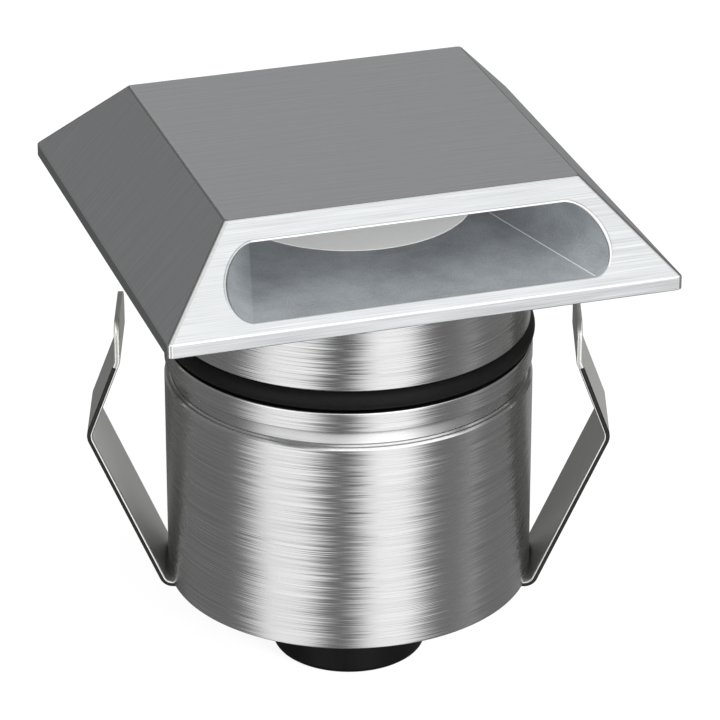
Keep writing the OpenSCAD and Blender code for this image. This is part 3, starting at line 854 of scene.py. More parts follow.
    def add_front(self, shell: Shell, skirt: np.ndarray) -> np.ndarray:
        """Adds the front slope round the mouth, a fine line beside the lip, and the rolled lip.

        The lip's section is the curve (1 - t)^2 outer + 2 t (1 - t) mouth + t^2 inner, which rounds
        the mouth's sharp edge. Lip and line are widest at the mouth's upper half.

        Args:
            shell: Shell that gets the faces.
            skirt: Grid of the slopes' points.

        Returns:
            The lip's inner line, where the chamber starts.
        """
        n, m = self.across, self.around
        border = np.concatenate([skirt[0, :n], skirt[:-1, n], skirt[-1, n:0:-1], skirt[:0:-1, 0]])
        mouth = self.mouth()
        slope = np.array([self.half_w - self.top_half_w, self.height - self.rim_h])
        slope_normal = np.array([0.0, -slope[1], slope[0]]) / np.linalg.norm(slope)
        along = unit(np.roll(mouth, -1, axis=0) - np.roll(mouth, 1, axis=0))
        outward = np.cross(along, slope_normal)
        rise = (mouth[:, 2:] - self.floor_z) / self.chamber_h
        size = self.lip_r * (0.4 + 0.6 * smooth_step(rise * 1.6))
        outer = mouth + outward * size
        index = np.arange(len(mouth))
        right, left = (index >= n) & (index <= n + m), (index >= 2 * n + m) | (index == 0)
        on_side = np.select([right, left], [-1, 1], 0)
        inner = mouth.copy()
        inner[:, 1] += size[:, 0]
        inner[:, 0] += on_side * size[:, 0] * math.tan(self.taper())
        side = np.linspace(-1, 1, n + 1)[:-1]
        inner[:n, 0] = side * inner[n, 0]
        inner[n + m : 2 * n + m, 0] = -side * inner[n + m, 0]
        width = self.line_w * smooth_step(rise * 2.5 - 0.2)
        line_out = outer + outward * width
        line_low = outer + outward * width / 2 - slope_normal * width / 2
        shell.add_grid(between(border, line_out, np.array([0, 0.8, 1.0])), wrap_columns=True)
        shell.add_grid(np.stack([line_out, line_low, outer]), wrap_columns=True)
        t = np.linspace(0, 1, 7)[:, None, None]
        lip = (1 - t) ** 2 * outer + 2 * t * (1 - t) * mouth + t * t * inner
        # The lip's upper edge and its right side take the polished steel: a smoother finish, and a lighter
        # colour that is a painted highlight; the lower edge and the left side stay brushed
        lip_highlight_painted = (index >= n + m // 5) & (index < 2 * n + m)
        shell.add_grid(lip, wrap_columns=True, slot=np.where(lip_highlight_painted, HeadFace.POLISHED, HeadFace.BRUSHED))
        return inner

    def add_chamber(self, shell: Shell, inner: np.ndarray) -> None:
        """Adds the chamber's wall with its seam, the ceiling, the sill and all that lies below.

        The left half mirrors the right one, which alone has the seam's bead with its painted highlight.

        Args:
            shell: Shell that gets the faces.
            inner: The lip's inner line.
        """
        n, m = self.across, self.around
        half = self.wall(self.chamber_rows(), inner[n : n + m + 1])
        bead = self.seam_bead(half[0])
        plain = np.concatenate([np.repeat(half[:1], len(bead), axis=0), half])
        half = np.concatenate([bead, half])
        wall = np.concatenate([half, plain[:, -2::-1] * [-1, 1, 1]], axis=1)
        # The bead's faces take the pale seam finish, a painted highlight along the right crease
        in_highlight_bead = np.arange(len(half) - 1)[:, None] < len(bead)
        shell.add_grid(wall, slot=np.where(in_highlight_bead, HeadFace.SEAM_HIGHLIGHT, HeadFace.CHAMBER))
        side = np.linspace(-1, 1, n + 1)
        ceiling = half[-1][:, None] * np.stack([side, np.ones(n + 1), np.ones(n + 1)], axis=1)
        shell.add_grid(ceiling, slot=HeadFace.CHAMBER)
        sill_left, sill_right = plain[0, :2][:, None] * [-1, 1, 1], bead[0, :2][:, None]
        sill = sill_left + (sill_right - sill_left) * (side[:, None] + 1) / 2
        shell.add_grid(sill, slot=HeadFace.CHAMBER)
        self.add_underside(shell, plain[0], bead[0])

    def cover(self) -> bpy.types.Object:
        """Builds the cover: outer slopes, mouth with its rounded lip, chamber, pocket and recess."""
        shell = Shell()
        self.add_chamber(shell, self.add_front(shell, self.add_slopes(shell)))
        piece = shell.build("head_cover_shell", HEAD_FINISHES)
        self.add_map(piece)
        return piece

    def add_underside(self, shell: Shell, chamber_line: np.ndarray, foot_line: np.ndarray) -> None:
        """Adds the floor plate's pocket, the flange's recess and the rim's lower face.

        Args:
            shell: Shell that gets the faces.
            chamber_line: Lowest row of the wall's right half, from the mouth to the back.
            foot_line: The same row on the floor, in front of the seam's bead.
        """
        grow = self.plate_lip + self.fit
        front_y = -self.half_w + self.sill_w - self.fit
        offset = grow * math.cos(self.taper())
        pocket_r = self.well_r + grow
        angle = float(self.meets_well(np.array(offset), pocket_r))
        corner_at = int(np.argmax(np.linalg.norm(chamber_line[:, :2], axis=1) < self.well_r + 1e-6))
        count = len(chamber_line) - 1
        corner = pocket_r * np.array([math.cos(angle), math.sin(angle)])
        front_corner = np.array([float(self.side_at(np.array(front_y), np.array(offset))), front_y])
        straight = front_corner + (corner - front_corner) * np.linspace(0, 1, corner_at)[:-1, None]
        arc = np.linspace(angle, np.pi / 2, count - corner_at + 1)
        half = np.concatenate([straight, pocket_r * np.stack([np.cos(arc), np.sin(arc)], axis=1)])
        half[-1, 0] = 0
        plate_line = np.concatenate([half, half[-2::-1] * [-1, 1]])
        under = chamber_line[1:]
        chamber = np.concatenate([foot_line[1:], under[-2::-1] * [-1, 1, 1]])
        top = at_height(plate_line, self.floor_z)
        shell.add_grid(np.stack([chamber, top]), slot=HeadFace.CHAMBER)
        x = np.linspace(-under[0, 0], foot_line[1, 0], self.across + 1)[:, None]
        sill_back = np.concatenate([x, np.full_like(x, front_y)], axis=1)
        pocket = np.concatenate([plate_line, sill_back])
        edge = self.flange_half_w + self.fit
        square = pocket * (edge / np.max(np.abs(pocket), axis=1))[:, None]
        for sx, sy in ((1, 1), (-1, 1), (-1, -1), (1, -1)):
            target = np.array([sx, sy]) * edge
            square[int(np.argmin(np.linalg.norm(square - target, axis=1)))] = target
        foot = at_height(square, 0.0)
        shell.add_grid(
            np.stack([
                at_height(pocket, self.floor_z), at_height(pocket, self.flange_t),
                at_height(square, self.flange_t), foot,
            ]),
            wrap_columns=True, slot=HeadFace.CHAMBER,
        )
        rim = self.ring(np.array([self.half_w - self.foot_bevel]), np.zeros(1))[0]
        shell.add_zip(foot, rim)

    def add_map(self, piece: bpy.types.Object) -> None:
        """Lays the surface map so that U runs along the grain, which goes from left to right.

        On faces that look up, V is y, and on the front, the back and the rims it is z less the
        distance from the middle. On the two side rims U is y and V is z.
        """
        mesh = piece.data
        count = len(mesh.loops)
        vertex = np.zeros(count, np.int32)
        mesh.loops.foreach_get("vertex_index", vertex)
        place = np.zeros(len(mesh.vertices) * 3, np.float32)
        mesh.vertices.foreach_get("co", place)
        place = place.reshape(-1, 3)[vertex] / MM
        normal = np.zeros(len(mesh.polygons) * 3, np.float32)
        mesh.polygons.foreach_get("normal", normal)
        total = np.zeros(len(mesh.polygons), np.int32)
        mesh.polygons.foreach_get("loop_total", total)
        normal = np.repeat(normal.reshape(-1, 3), total, axis=0)
        x, y, z = place.T
        side_rim = np.abs(normal[:, 0]) > 0.9
        front = (np.abs(normal[:, 1]) > 0.5) & ~side_rim
        u = np.where(side_rim, y, x)
        v = np.where(side_rim, z, np.where(front, z - np.abs(y), y))
        uv = 0.5 + np.stack([u, v], axis=1) / MAP_SPAN
        mesh.uv_layers["surface"].data.foreach_set("uv", uv.astype(np.float32).ravel())

    def lens(self) -> bpy.types.Object:
        """Builds the stepped round lens with a small round on its upper edge."""
        low, high = low_high("lens")
        seat_r, lens_r = float(high[0]), self.well_r - 0.65
        profile = rounded_line(np.array([
            [0, low[2], 0], [seat_r, low[2], 0.15], [seat_r, self.flange_t, 0.15],
            [lens_r, self.flange_t, 0], [lens_r, high[2], 0.22], [0, high[2], 0],
        ]))
        return lathe_piece("lens_disc", profile, (FROSTED_GLASS,), closed=False)

    def dress(self) -> None:
        """Builds the head's shells and sets them on the turning body."""
        settle(self.cover(), "head", "head_cover")
        settle(self.lens(), "head", "lens")


def settle(piece: bpy.types.Object, body: str, node: str) -> None:
    """Rides a piece on its body, lets it stand for its CAD node and reports it."""
    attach(piece, body)
    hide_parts(node)
    log.info("%s stands for %s on %s", piece.name, node, body)


@dataclass
class Neck:
    """Round neck under the head, with its square flange and the turning spigot."""

    flange_half_w: float = field(default_factory=lambda: reach_of("neck"))
    flange_t: float = field(default_factory=lambda: top_of("neck"))
    spigot_end: float = field(default_factory=lambda: low_of("neck"))
    seal_r: float = field(default_factory=lambda: reach_of("seal_ring"))
    seal_top: float = field(default_factory=lambda: top_of("seal_ring"))
    seal_low: float = field(default_factory=lambda: low_of("seal_ring"))
    flange_corner: float = 2.0
    radius: float = 28.65
    spigot_r: float = 25.2
    carrier_r: float = 23.0
    optic_r: float = 22.2
    window_r: float = 18.6
    lens_seat_r: float = 21.0
    ledge_z: float = -2.0
    step_z: float = -9.0
    ring_groove: tuple[float, float, float] = (23.8, -12.1, -13.4)
    spigot_groove: tuple[float, float, float] = (24.4, -29.5, -30.9)
    screw_x: float = 33.0
    screw_hole_r: float = 1.55
    screw_head_r: float = 2.95
    sink: float = 1.4
    patch_inner: float = 28.0

    def side_line(self) -> np.ndarray:
        """Gives the right side of the flange between its corner patches."""
        a, b = self.patch_inner, self.flange_half_w
        return np.stack([np.full(17, b), np.linspace(-a, a, 17)], axis=1)

    def corner_line(self) -> np.ndarray:
        """Gives the outside of the corner patch at the back right, without its last point."""
        a, b, r = self.patch_inner, self.flange_half_w, self.flange_corner
        up = np.stack([np.full(5, b), np.linspace(a, b - r, 5)], axis=1)
        arc = np.linspace(0, np.pi / 2, 8)
        round_part = b - r + r * np.stack([np.cos(arc), np.sin(arc)], axis=1)
        return np.concatenate([up[:-1], round_part, up[3:0:-1, ::-1]])

    def plus_line(self) -> np.ndarray:
        """Gives the flange's outline without its corner patches, anticlockwise."""
        a, b = self.patch_inner, self.flange_half_w
        notch = np.stack([np.linspace(b, a, 5), np.full(5, a)], axis=1)
        quarter = np.concatenate([self.side_line()[:-1], notch[:-1], notch[:0:-1, ::-1]])
        return np.concatenate([turn_points(quarter, 90 * k) for k in range(4)])

    def patch_line(self) -> np.ndarray:
        """Gives the outline of the corner patch at the back right, anticlockwise."""
        a, b = self.patch_inner, self.flange_half_w
        down = np.stack([np.full(5, a), np.linspace(b, a, 5)], axis=1)
        return np.concatenate([down[:-1], down[:0:-1, ::-1], self.corner_line()])

    def outline(self) -> np.ndarray:
        """Gives the flange's whole outline, anticlockwise."""
        quarter = np.concatenate([self.side_line()[:-1], self.corner_line()])
        return np.concatenate([turn_points(quarter, 90 * k) for k in range(4)])

    def build(self) -> bpy.types.Object:
        """Builds the neck as one turned shell with a square flange."""
        groove_r, groove_top, groove_low = self.spigot_groove
        ring_r, ring_top, ring_low = self.ring_groove
        seat_r = self.seal_r - (self.seal_top - self.seal_low) - 0.05
        profile = rounded_line(np.array([
            [self.lens_seat_r, self.flange_t, 0],
            [self.lens_seat_r, 0, 0],
            [self.window_r, 0, 0.1],
            [self.window_r, self.ledge_z, 0.1],
            [self.optic_r, self.ledge_z, 0],
            [self.optic_r, self.step_z, 0.1],
            [self.carrier_r, self.step_z, 0],
            [self.carrier_r, ring_top, 0], [ring_r, ring_top, 0],
            [ring_r, ring_low, 0], [self.carrier_r, ring_low, 0],
            [self.carrier_r, self.spigot_end, 0.2],
            [self.spigot_r, self.spigot_end, 0.2],
            [self.spigot_r, groove_low, 0], [groove_r, groove_low, 0],
            [groove_r, groove_top, 0], [self.spigot_r, groove_top, 0],
            [self.spigot_r, self.seal_low, 0],
            [seat_r, self.seal_low, 0.1], [seat_r, self.seal_top + 0.05, 0],
            [self.radius, self.seal_top + 0.05, 0.22],
            [self.radius, 0, 0],
        ]))
        shell = Shell()
        grid = lathe(profile, even_angles())
        shell.add_grid(grid, wrap_columns=True)
        plus, patch = self.plus_line(), self.patch_line()
        holes = lathe(
            np.array([
                [self.screw_hole_r, self.flange_t], [self.screw_hole_r, self.sink], [self.screw_head_r, 0],
            ]),
            even_angles(24),
        )
        shell.add_zip(grid[0], at_height(plus, self.flange_t))
        shell.add_zip(grid[-1], at_height(plus, 0.0))
        centre = np.array([self.screw_x, self.screw_x, 0])
        for k in range(4):
            spot = turn_points(centre, 90 * k)
            hole = turn_points(holes + centre, 90 * k)
            line = turn_points(patch, 90 * k)
            shell.add_grid(hole, wrap_columns=True)
            shell.add_zip(hole[0], at_height(line, self.flange_t), (spot[0], spot[1]))
            shell.add_zip(hole[-1], at_height(line, 0.0), (spot[0], spot[1]))
        line = self.outline()
        shell.add_grid(np.stack([at_height(line, self.flange_t), at_height(line, 0.0)]), wrap_columns=True)
        return shell.build("neck_shell", (BRUSHED_TURNED,))

    def seal(self) -> bpy.types.Object:
        """Builds the black seal ring: a circle carried round the axis."""
        r = (self.seal_top - self.seal_low) / 2
        a = even_angles(40)
        profile = np.stack(
            [self.seal_r - r + r * np.cos(a), (self.seal_top + self.seal_low) / 2 + r * np.sin(a)], axis=1
        )
        return lathe_piece("seal_ring_shell", profile, (BLACK_RUBBER,))

    def dress(self) -> None:
        """Builds the neck's shells and sets them on the turning body."""
        settle(self.build(), "head", "neck")
        settle(self.seal(), "head", "seal_ring")


@dataclass
class Housing:
    """Collar and round housing that stay still in the deck."""

    collar_r: float = field(default_factory=lambda: reach_of("collar"))
    collar_top: float = field(default_factory=lambda: top_of("collar"))
    collar_end: float = field(default_factory=lambda: low_of("collar"))
    radius: float = 29.15
    top: float = field(default_factory=lambda: top_of("housing"))
    low: float = field(default_factory=lambda: low_of("housing"))
    collar_low: float = -22.5
    groove_r: float = 27.9
    groove_lean: float = 0.85
    groove_lean_h: float = 1.25
    wall_share: float = 1.25
    undercut_r: float = 26.4
    lip_r: float = 0.32
    band_bevel: float = 0.08
    band_bevel_h: float = 0.12
    rim_drop: float = 0.3
    rim_bevel: float = 0.3
    rim_bevel_h: float = 0.34
    ledge_lift: float = 0.03
    thread_r: float = 27.0
    collar_bore_r: float = 25.25
    bore_r: float = 26.35
    seal_t: float = 1.0
    base_t: float = 2.5
    stem_hole_r: float = 6.05
    seal_out_r: float = 7.3
    seal_h: float = 1.2
    fit: float = 0.05
    relief_half_w: float = 8.5
    relief_start: float = 28.106
    turn: float = -17.75

    def collar(self) -> bpy.types.Object:
        """Builds the collar: lip, band, groove and the part that screws into the housing."""
        wall_top = self.top + self.groove_lean_h * self.wall_share
        profile = rounded_line(np.array([
            [self.collar_bore_r, self.collar_top, 0.15],
            [self.collar_r, self.collar_top, self.lip_r],
            [self.collar_r, self.collar_low + self.band_bevel_h, 0.03],
            [self.collar_r - self.band_bevel, self.collar_low, 0.03],
            [self.undercut_r, self.collar_low, 0],
            [self.undercut_r, wall_top, 0],
            [self.groove_r - self.groove_lean, wall_top, 0.05],
            [self.groove_r + 0.05, self.top, 0.1],
            [self.groove_r + 0.2, self.top, 0],
            [self.groove_r + 0.2, self.top - 0.08, 0],
            [self.thread_r, self.top - 0.08, 0],
            [self.thread_r, self.collar_end, 0.2],
            [self.collar_bore_r, self.collar_end, 0.2],
        ]), closed=True)
        r, z = step_middles(profile)
        lip = z > self.collar_top - self.lip_r
        between_radii = (r < self.collar_r - SLACK) & (r > self.undercut_r - SLACK)
        groove = between_radii & (z < self.collar_low + self.band_bevel_h - SLACK)
        slot = np.select(
            [lip, groove & (z > self.top + HAIR), groove],
            [TurnedFace.POLISHED, TurnedFace.GROOVE, TurnedFace.LEDGE],
            TurnedFace.BRUSHED,
        )
        return lathe_piece("collar_shell", profile, TURNED_FINISHES, slot=slot)

    def housing(self) -> bpy.types.Object:
        """Builds the housing as a turned cup, with the relief under the spring arms' bends."""
        relief_top = self.low + self.radius - self.relief_start
        seat_r = self.thread_r + self.fit
        seat_low = self.collar_end - self.seal_t
        ledge_z = self.top - self.rim_drop + self.ledge_lift
        profile = rounded_line(np.array([
            [self.stem_hole_r, self.low + self.base_t, 0],
            [self.stem_hole_r, self.low + self.seal_h, 0],
            [self.stem_hole_r + HAIR, self.low + self.seal_h, 0],
            [self.seal_out_r, self.low + self.seal_h, 0],
            [self.seal_out_r, self.low, 0],
            [self.relief_start, self.low, 0],
            [self.radius, self.low, 0.22],
            [self.radius, relief_top + 0.02, 0],
            [self.radius, ledge_z - self.rim_bevel_h, 0.05],
            [self.radius - self.rim_bevel, ledge_z, 0.02],
            [self.groove_r + 0.52, ledge_z, 0.02],
            [self.groove_r + 0.3, self.top - 0.02, 0.02],
            [self.groove_r + 0.22, self.top - 0.02, 0],
            [self.groove_r + 0.22, self.top - 0.13, 0],
            [seat_r, self.top - 0.13, 0.05],
            [seat_r, seat_low, 0],
            [self.bore_r, seat_low, 0],
            [self.bore_r, self.low + self.base_t, 0.6],
        ]), closed=True)
        edge = math.asin(self.relief_half_w / self.radius)
        marks = [s * np.pi + t * edge + d for s in (0, 1) for t in (-1, 1) for d in (-0.002, 0.002)]
        angles = np.unique(np.round(np.concatenate([even_angles(), np.mod(marks, 2 * np.pi)]), 6))
        grid = lathe(profile, angles)
        r, z = step_middles(profile)
        rim = (r > self.groove_r + 0.2) & (z > ledge_z - self.rim_bevel_h)
        ledge = rim & (np.abs(z - ledge_z) < 0.002)
        slot = np.select([ledge, rim], [TurnedFace.LEDGE, TurnedFace.POLISHED], TurnedFace.BRUSHED)
        outside = (profile[:, 0] > self.relief_start - 1e-6)[:, None]
        cut = outside & (np.abs(np.sin(angles))[None] < math.sin(edge))
        floor = self.low + np.maximum(np.abs(grid[..., 0]) - self.relief_start, 0)
        grid[..., 2] = np.where(cut, np.maximum(grid[..., 2], floor), grid[..., 2])
        shell = Shell()
        shell.add_grid(turn_points(grid, self.turn), wrap_rows=True, wrap_columns=True, slot=slot)
        return shell.build("housing_shell", TURNED_FINISHES)

    def dress(self) -> None:
        """Builds the still shells and sets them on the housing."""
        settle(self.collar(), "housing", "collar")
        settle(self.housing(), "housing", "housing")


@dataclass
class Gland:
    """Black cable gland under the housing."""

    body_top: float = field(default_factory=lambda: low_of("clip_foot"))
    stem_top: float = field(default_factory=lambda: top_of("gland_body"))
    seam: float = field(default_factory=lambda: top_of("gland_cap"))
    low: float = field(default_factory=lambda: low_of("gland_cap"))
    radius: float = field(default_factory=lambda: reach_of("gland_body"))
    insert_low: float = field(default_factory=lambda: low_of("gland_insert"))
    insert_top: float = field(default_factory=lambda: top_of("gland_insert"))
    stem_r: float = 6.0
    bore_r: float = 3.65
    insert_r: float = 6.05
    skirt_r: float = 8.6
    fit: float = 0.05

    def body(self) -> bpy.types.Object:
        """Builds the gland's body, with its stem above and its skirt inside the cap."""
        profile = rounded_line(np.array([
            [self.bore_r, self.stem_top, 0.2], [self.stem_r, self.stem_top, 0.3],
            [self.stem_r, self.body_top, 0.1], [self.radius, self.body_top, 0.5],
            [self.radius, self.seam, 0.2], [self.skirt_r, self.seam, 0],
            [self.skirt_r, self.insert_low, 0.2], [self.insert_r, self.insert_low, 0],
            [self.insert_r, self.insert_top, 0], [self.bore_r, self.insert_top, 0],
        ]), closed=True)
        return lathe_piece("gland_body_shell", profile, (BLACK_NYLON,))

    def cap(self) -> bpy.types.Object:
        """Builds the gland's cap with a rounded lower edge."""
        profile = rounded_line(np.array([
            [self.skirt_r + self.fit, self.seam, 0], [self.radius, self.seam, 0.2],
            [self.radius, self.low, 1.1], [self.bore_r, self.low, 0.4],
            [self.bore_r, self.insert_low, 0], [self.skirt_r + self.fit, self.insert_low, 0],
        ]), closed=True)
        return lathe_piece("gland_cap_shell", profile, (BLACK_NYLON,))

    def dress(self) -> None:
        """Builds the gland's shells and sets them on the housing."""
        settle(self.body(), "housing", "gland_body")
        settle(self.cap(), "housing", "gland_cap")


@dataclass
class SpringStrip:
    """Bent spring strip: a foot under the housing and an arm up each side."""

    turn: float = -17.75
    width: float = 15.0
    t: float = 0.9
    edge_r: float = 0.27
    root_r: float = 29.33
    knee_r: float = 40.98
    tab_r: float = 36.12
    low: float = field(default_factory=lambda: low_of("clip_foot"))
    knee_z: float = -34.15
    crease_z: float = -21.14
    tab_z: float = field(default_factory=lambda: top_of("left_arm"))
    root_bend: float = 1.8
    knee_bend: float = 2.5
    crease_bend: float = 1.2
    tab_corner: float = 3.0
    seam: float = 22.0
    hole_r: float = 6.05

    def centre_line(self) -> np.ndarray:
        """Gives the arm's centre line in its own plane, from the seam to the tab's end."""
        mid = self.low + self.t / 2
        return rounded_line(np.array([
            [self.seam, mid, 0], [self.root_r, mid, self.root_bend],
            [self.knee_r, self.knee_z, self.knee_bend],
            [self.tab_r, self.crease_z, self.crease_bend], [self.tab_r, self.tab_z, 0],
        ]), steps=14)

    def section(self, half_w: np.ndarray, half_t: np.ndarray) -> tuple[np.ndarray, np.ndarray]:
        """Gives the strip's rounded rectangular section at each row.

        Args:
            half_w: Half widths, one for each row.
            half_t: Half thicknesses, one for each row.

        Returns:
            Places across the width and through the thickness, rows by columns.
        """
        r = np.minimum(self.edge_r, np.minimum(half_w, half_t))[:, None]
        w, t = half_w[:, None] - r, half_t[:, None] - r
        arc = np.linspace(0, np.pi / 2, 5)
        flat = np.linspace(-1, 1, 13)[1:-1]
        across = np.concatenate(
            [w + r * np.cos(arc), w * -flat, -w - r * np.sin(arc), -w - r * np.cos(arc), w * flat,
             w + r * np.sin(arc)], axis=1
        )
        through = np.concatenate(
            [t + r * np.sin(arc), t + r + 0 * flat, t + r * np.cos(arc), -t - r * np.sin(arc),
             -t - r + 0 * flat, -t - r * np.cos(arc)], axis=1
        )
        return across, through

    def arm(self, name: str, turn: float) -> bpy.types.Object:
        """Builds one arm by carrying the section along the centre line.

        The width follows a circle over the tab's corners, and the last rows draw in like the
        section's own rounded edge.

        Args:
            name: Name of the piece.
            turn: Angle in degrees that the arm's side is turned to.

        Returns:
            The new object.
        """
        line = self.centre_line()
        length = np.concatenate([[0], np.cumsum(np.linalg.norm(np.diff(line, axis=0), axis=1))])
        whole = length[-1]
        corner = np.linspace(0, np.pi / 2, 14)[:-1]
        edge = np.linspace(0, np.pi / 2, 6)
        c, r = self.tab_corner, self.edge_r
        stops = np.unique(np.round(np.concatenate([
            length[:-1], np.linspace(0, whole - c, 60), whole - c + (c - r) * np.sin(corner),
            whole - r + r * np.sin(edge),
        ]), 5))
        place = np.stack([np.interp(stops, length, line[:, k]) for k in (0, 1)], axis=1)
        ahead = unit(np.gradient(place, axis=0))
        normal = np.stack([-ahead[:, 1], ahead[:, 0]], axis=1)
        into = np.clip((stops - (whole - c)) / c, 0, 1)
        half_w = self.width / 2 - c + c * np.sqrt(1 - into**2)
        half_w = np.maximum(half_w, self.width / 2 - c)
        last = np.clip((stops - (whole - r)) / r, 0, 1)
        inset = r * (1 - np.sqrt(1 - last**2))
        half_t = self.t / 2 - inset
        across, through = self.section(half_w, half_t)
        grid = np.stack([
            place[:, :1] + normal[:, :1] * through,
            across,
            place[:, 1:] + normal[:, 1:] * through,
        ], axis=-1)
        flat_end = grid[-1].copy()
        flat_end[:, 0] = place[-1, 0]
        cap_start = grid[:1].copy()
        cap_start[0, :, 2] = place[0, 1]
        grid = np.concatenate([cap_start, grid, flat_end[None]])
        stops = np.concatenate([stops[:1], stops, stops[-1:]])
        across = np.concatenate([across[:1], across, across[-1:]])
        uv = 0.5 + np.stack([np.broadcast_to(stops[:, None], across.shape), across], axis=-1) / MAP_SPAN
        columns = np.arange(grid.shape[1])
        side = grid.shape[1] // 2 - 1
        turned_edge = (columns < 4) | ((columns >= side - 4) & (columns < side))
        # The thickness faces and the corners beside them on one side take the near-black steel, painted
        # shade; the other side's corners keep the polished steel
        shaded_edge = ((columns >= side) & (columns < side + 5)) | (columns >= len(columns) - 5)
        tab = (stops[:-1] > whole - (self.tab_z - self.crease_z) - self.crease_bend)[:, None]
        slot = np.select(
            [turned_edge & ~tab, shaded_edge & ~tab], [StripFace.POLISHED, StripFace.STRIP_SHADE], StripFace.ROLLED
        )
        shell = Shell()
        shell.add_grid(turn_points(grid, turn), wrap_columns=True, slot=slot, uv=uv)
        return shell.build(name, STRIP_FINISHES)

    def foot(self) -> bpy.types.Object:
        """Builds the foot: a flat plate with the gland's hole, as far as the arms' seams."""
        a, b = self.seam, self.width / 2
        xs, ys = np.linspace(-a, a, 41), np.linspace(-b, b, 15)
        line = np.concatenate([
            np.stack([xs[:-1], np.full(40, -b)], axis=1), np.stack([np.full(14, a), ys[:-1]], axis=1),
            np.stack([xs[:0:-1], np.full(40, b)], axis=1), np.stack([np.full(14, -a), ys[:0:-1]], axis=1),
        ])
        angles = even_angles(72)
        hole = self.hole_r * np.stack([np.cos(angles), np.sin(angles)], axis=1)
        shell = Shell()
        for z in (self.low, self.low + self.t):
            shell.add_zip(at_height(hole, z), at_height(line, z))
        for ring in (hole, line):
            faces = np.stack([at_height(ring, self.low), at_height(ring, self.low + self.t)])
            shell.add_grid(faces, wrap_columns=True)
        shell.points = [turn_points(p, self.turn) for p in shell.points]
        shell.maps = [0.5 + m for m in shell.maps]
        return shell.build("spring_foot", (ROLLED_STRIP,))

    def dress(self) -> None:
        """Builds the strip's foot and its two arms."""
        settle(self.foot(), "housing", "clip_foot")
        bend_from, bend_to = self.root_r - 2.4, self.root_r + 0.6
        for name, node, turn in (
            ("left_spring", "left_arm", self.turn + 180),
            ("right_spring", "right_arm", self.turn),
        ):
            piece = self.arm(name, turn)
            ends = np.array([[r, 0.0, self.low + self.t / 2] for r in (bend_from, bend_to)])
            start, end = turn_points(ends, turn) * MM
            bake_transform(piece)
            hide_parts(node)
            log.info("%s bends from the housing to %s", name, node)


CAD_FINISHES = {
    "floor_plate": BLASTED_CHAMBER,
    "lens_gasket": BLACK_RUBBER,
    "cover_screws": TURNED_SCREW,
    "optic_cup": WHITE_REFLECTOR,
    "led_board": LAMP_BOARD,
    "led_chips": LAMP_PHOSPHOR,
    "led_screws": TURNED_SCREW,
    "led_carrier": ALUMINIUM,
    "carrier_ring": SPRING_RING,
    "lead_grommet": BLACK_RUBBER,
    "retaining_ring": SPRING_RING,
    "collar_seal": BLACK_RUBBER,
    "board_posts": BRASS,
    "driver_board": CIRCUIT_BOARD,
    "board_screws": TURNED_SCREW,
    "driver_coil": COIL_WIRE,
    "driver_capacitors": CAPACITOR_SLEEVE,
    "driver_chips": CHIP_EPOXY,
    "terminal_block": TERMINAL_GREEN,
    "terminal_screws": TURNED_SCREW,
    "gland_locknut": BLACK_NYLON,
    "base_seal": BLACK_RUBBER,
    "gland_insert": BLACK_RUBBER,
}


def dress_cad_nodes() -> None:
    """Gives every CAD node that stays its own finish."""
    made: dict[str, bpy.types.Material] = {}
    for node, finish in CAD_FINISHES.items():
        if finish.name not in made:
            made[finish.name] = finish.material()
        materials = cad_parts[node].data.materials
        materials.clear()
        materials.append(made[finish.name])
        log.info("%s is finished as %s", node, finish.name)


@dataclass(frozen=True)
class TallPanel:
    """Upright light panel far away, seen only as a reflection, or a dark card where it takes light.

    The angle in degrees is measured from the camera's side, to the right. The panel fades out over its
    soft edges and above its top, which is an elevation in degrees.
    """

    angle: float
    half_w: float
    soft: float
    strength: float
    top: float = 25.0


@dataclass(frozen=True)
class OverheadPanel:
    """Round light panel above the object, seen only as a reflection."""

    direction: tuple[float, float, float]
    inner: float
    outer: float
    strength: float


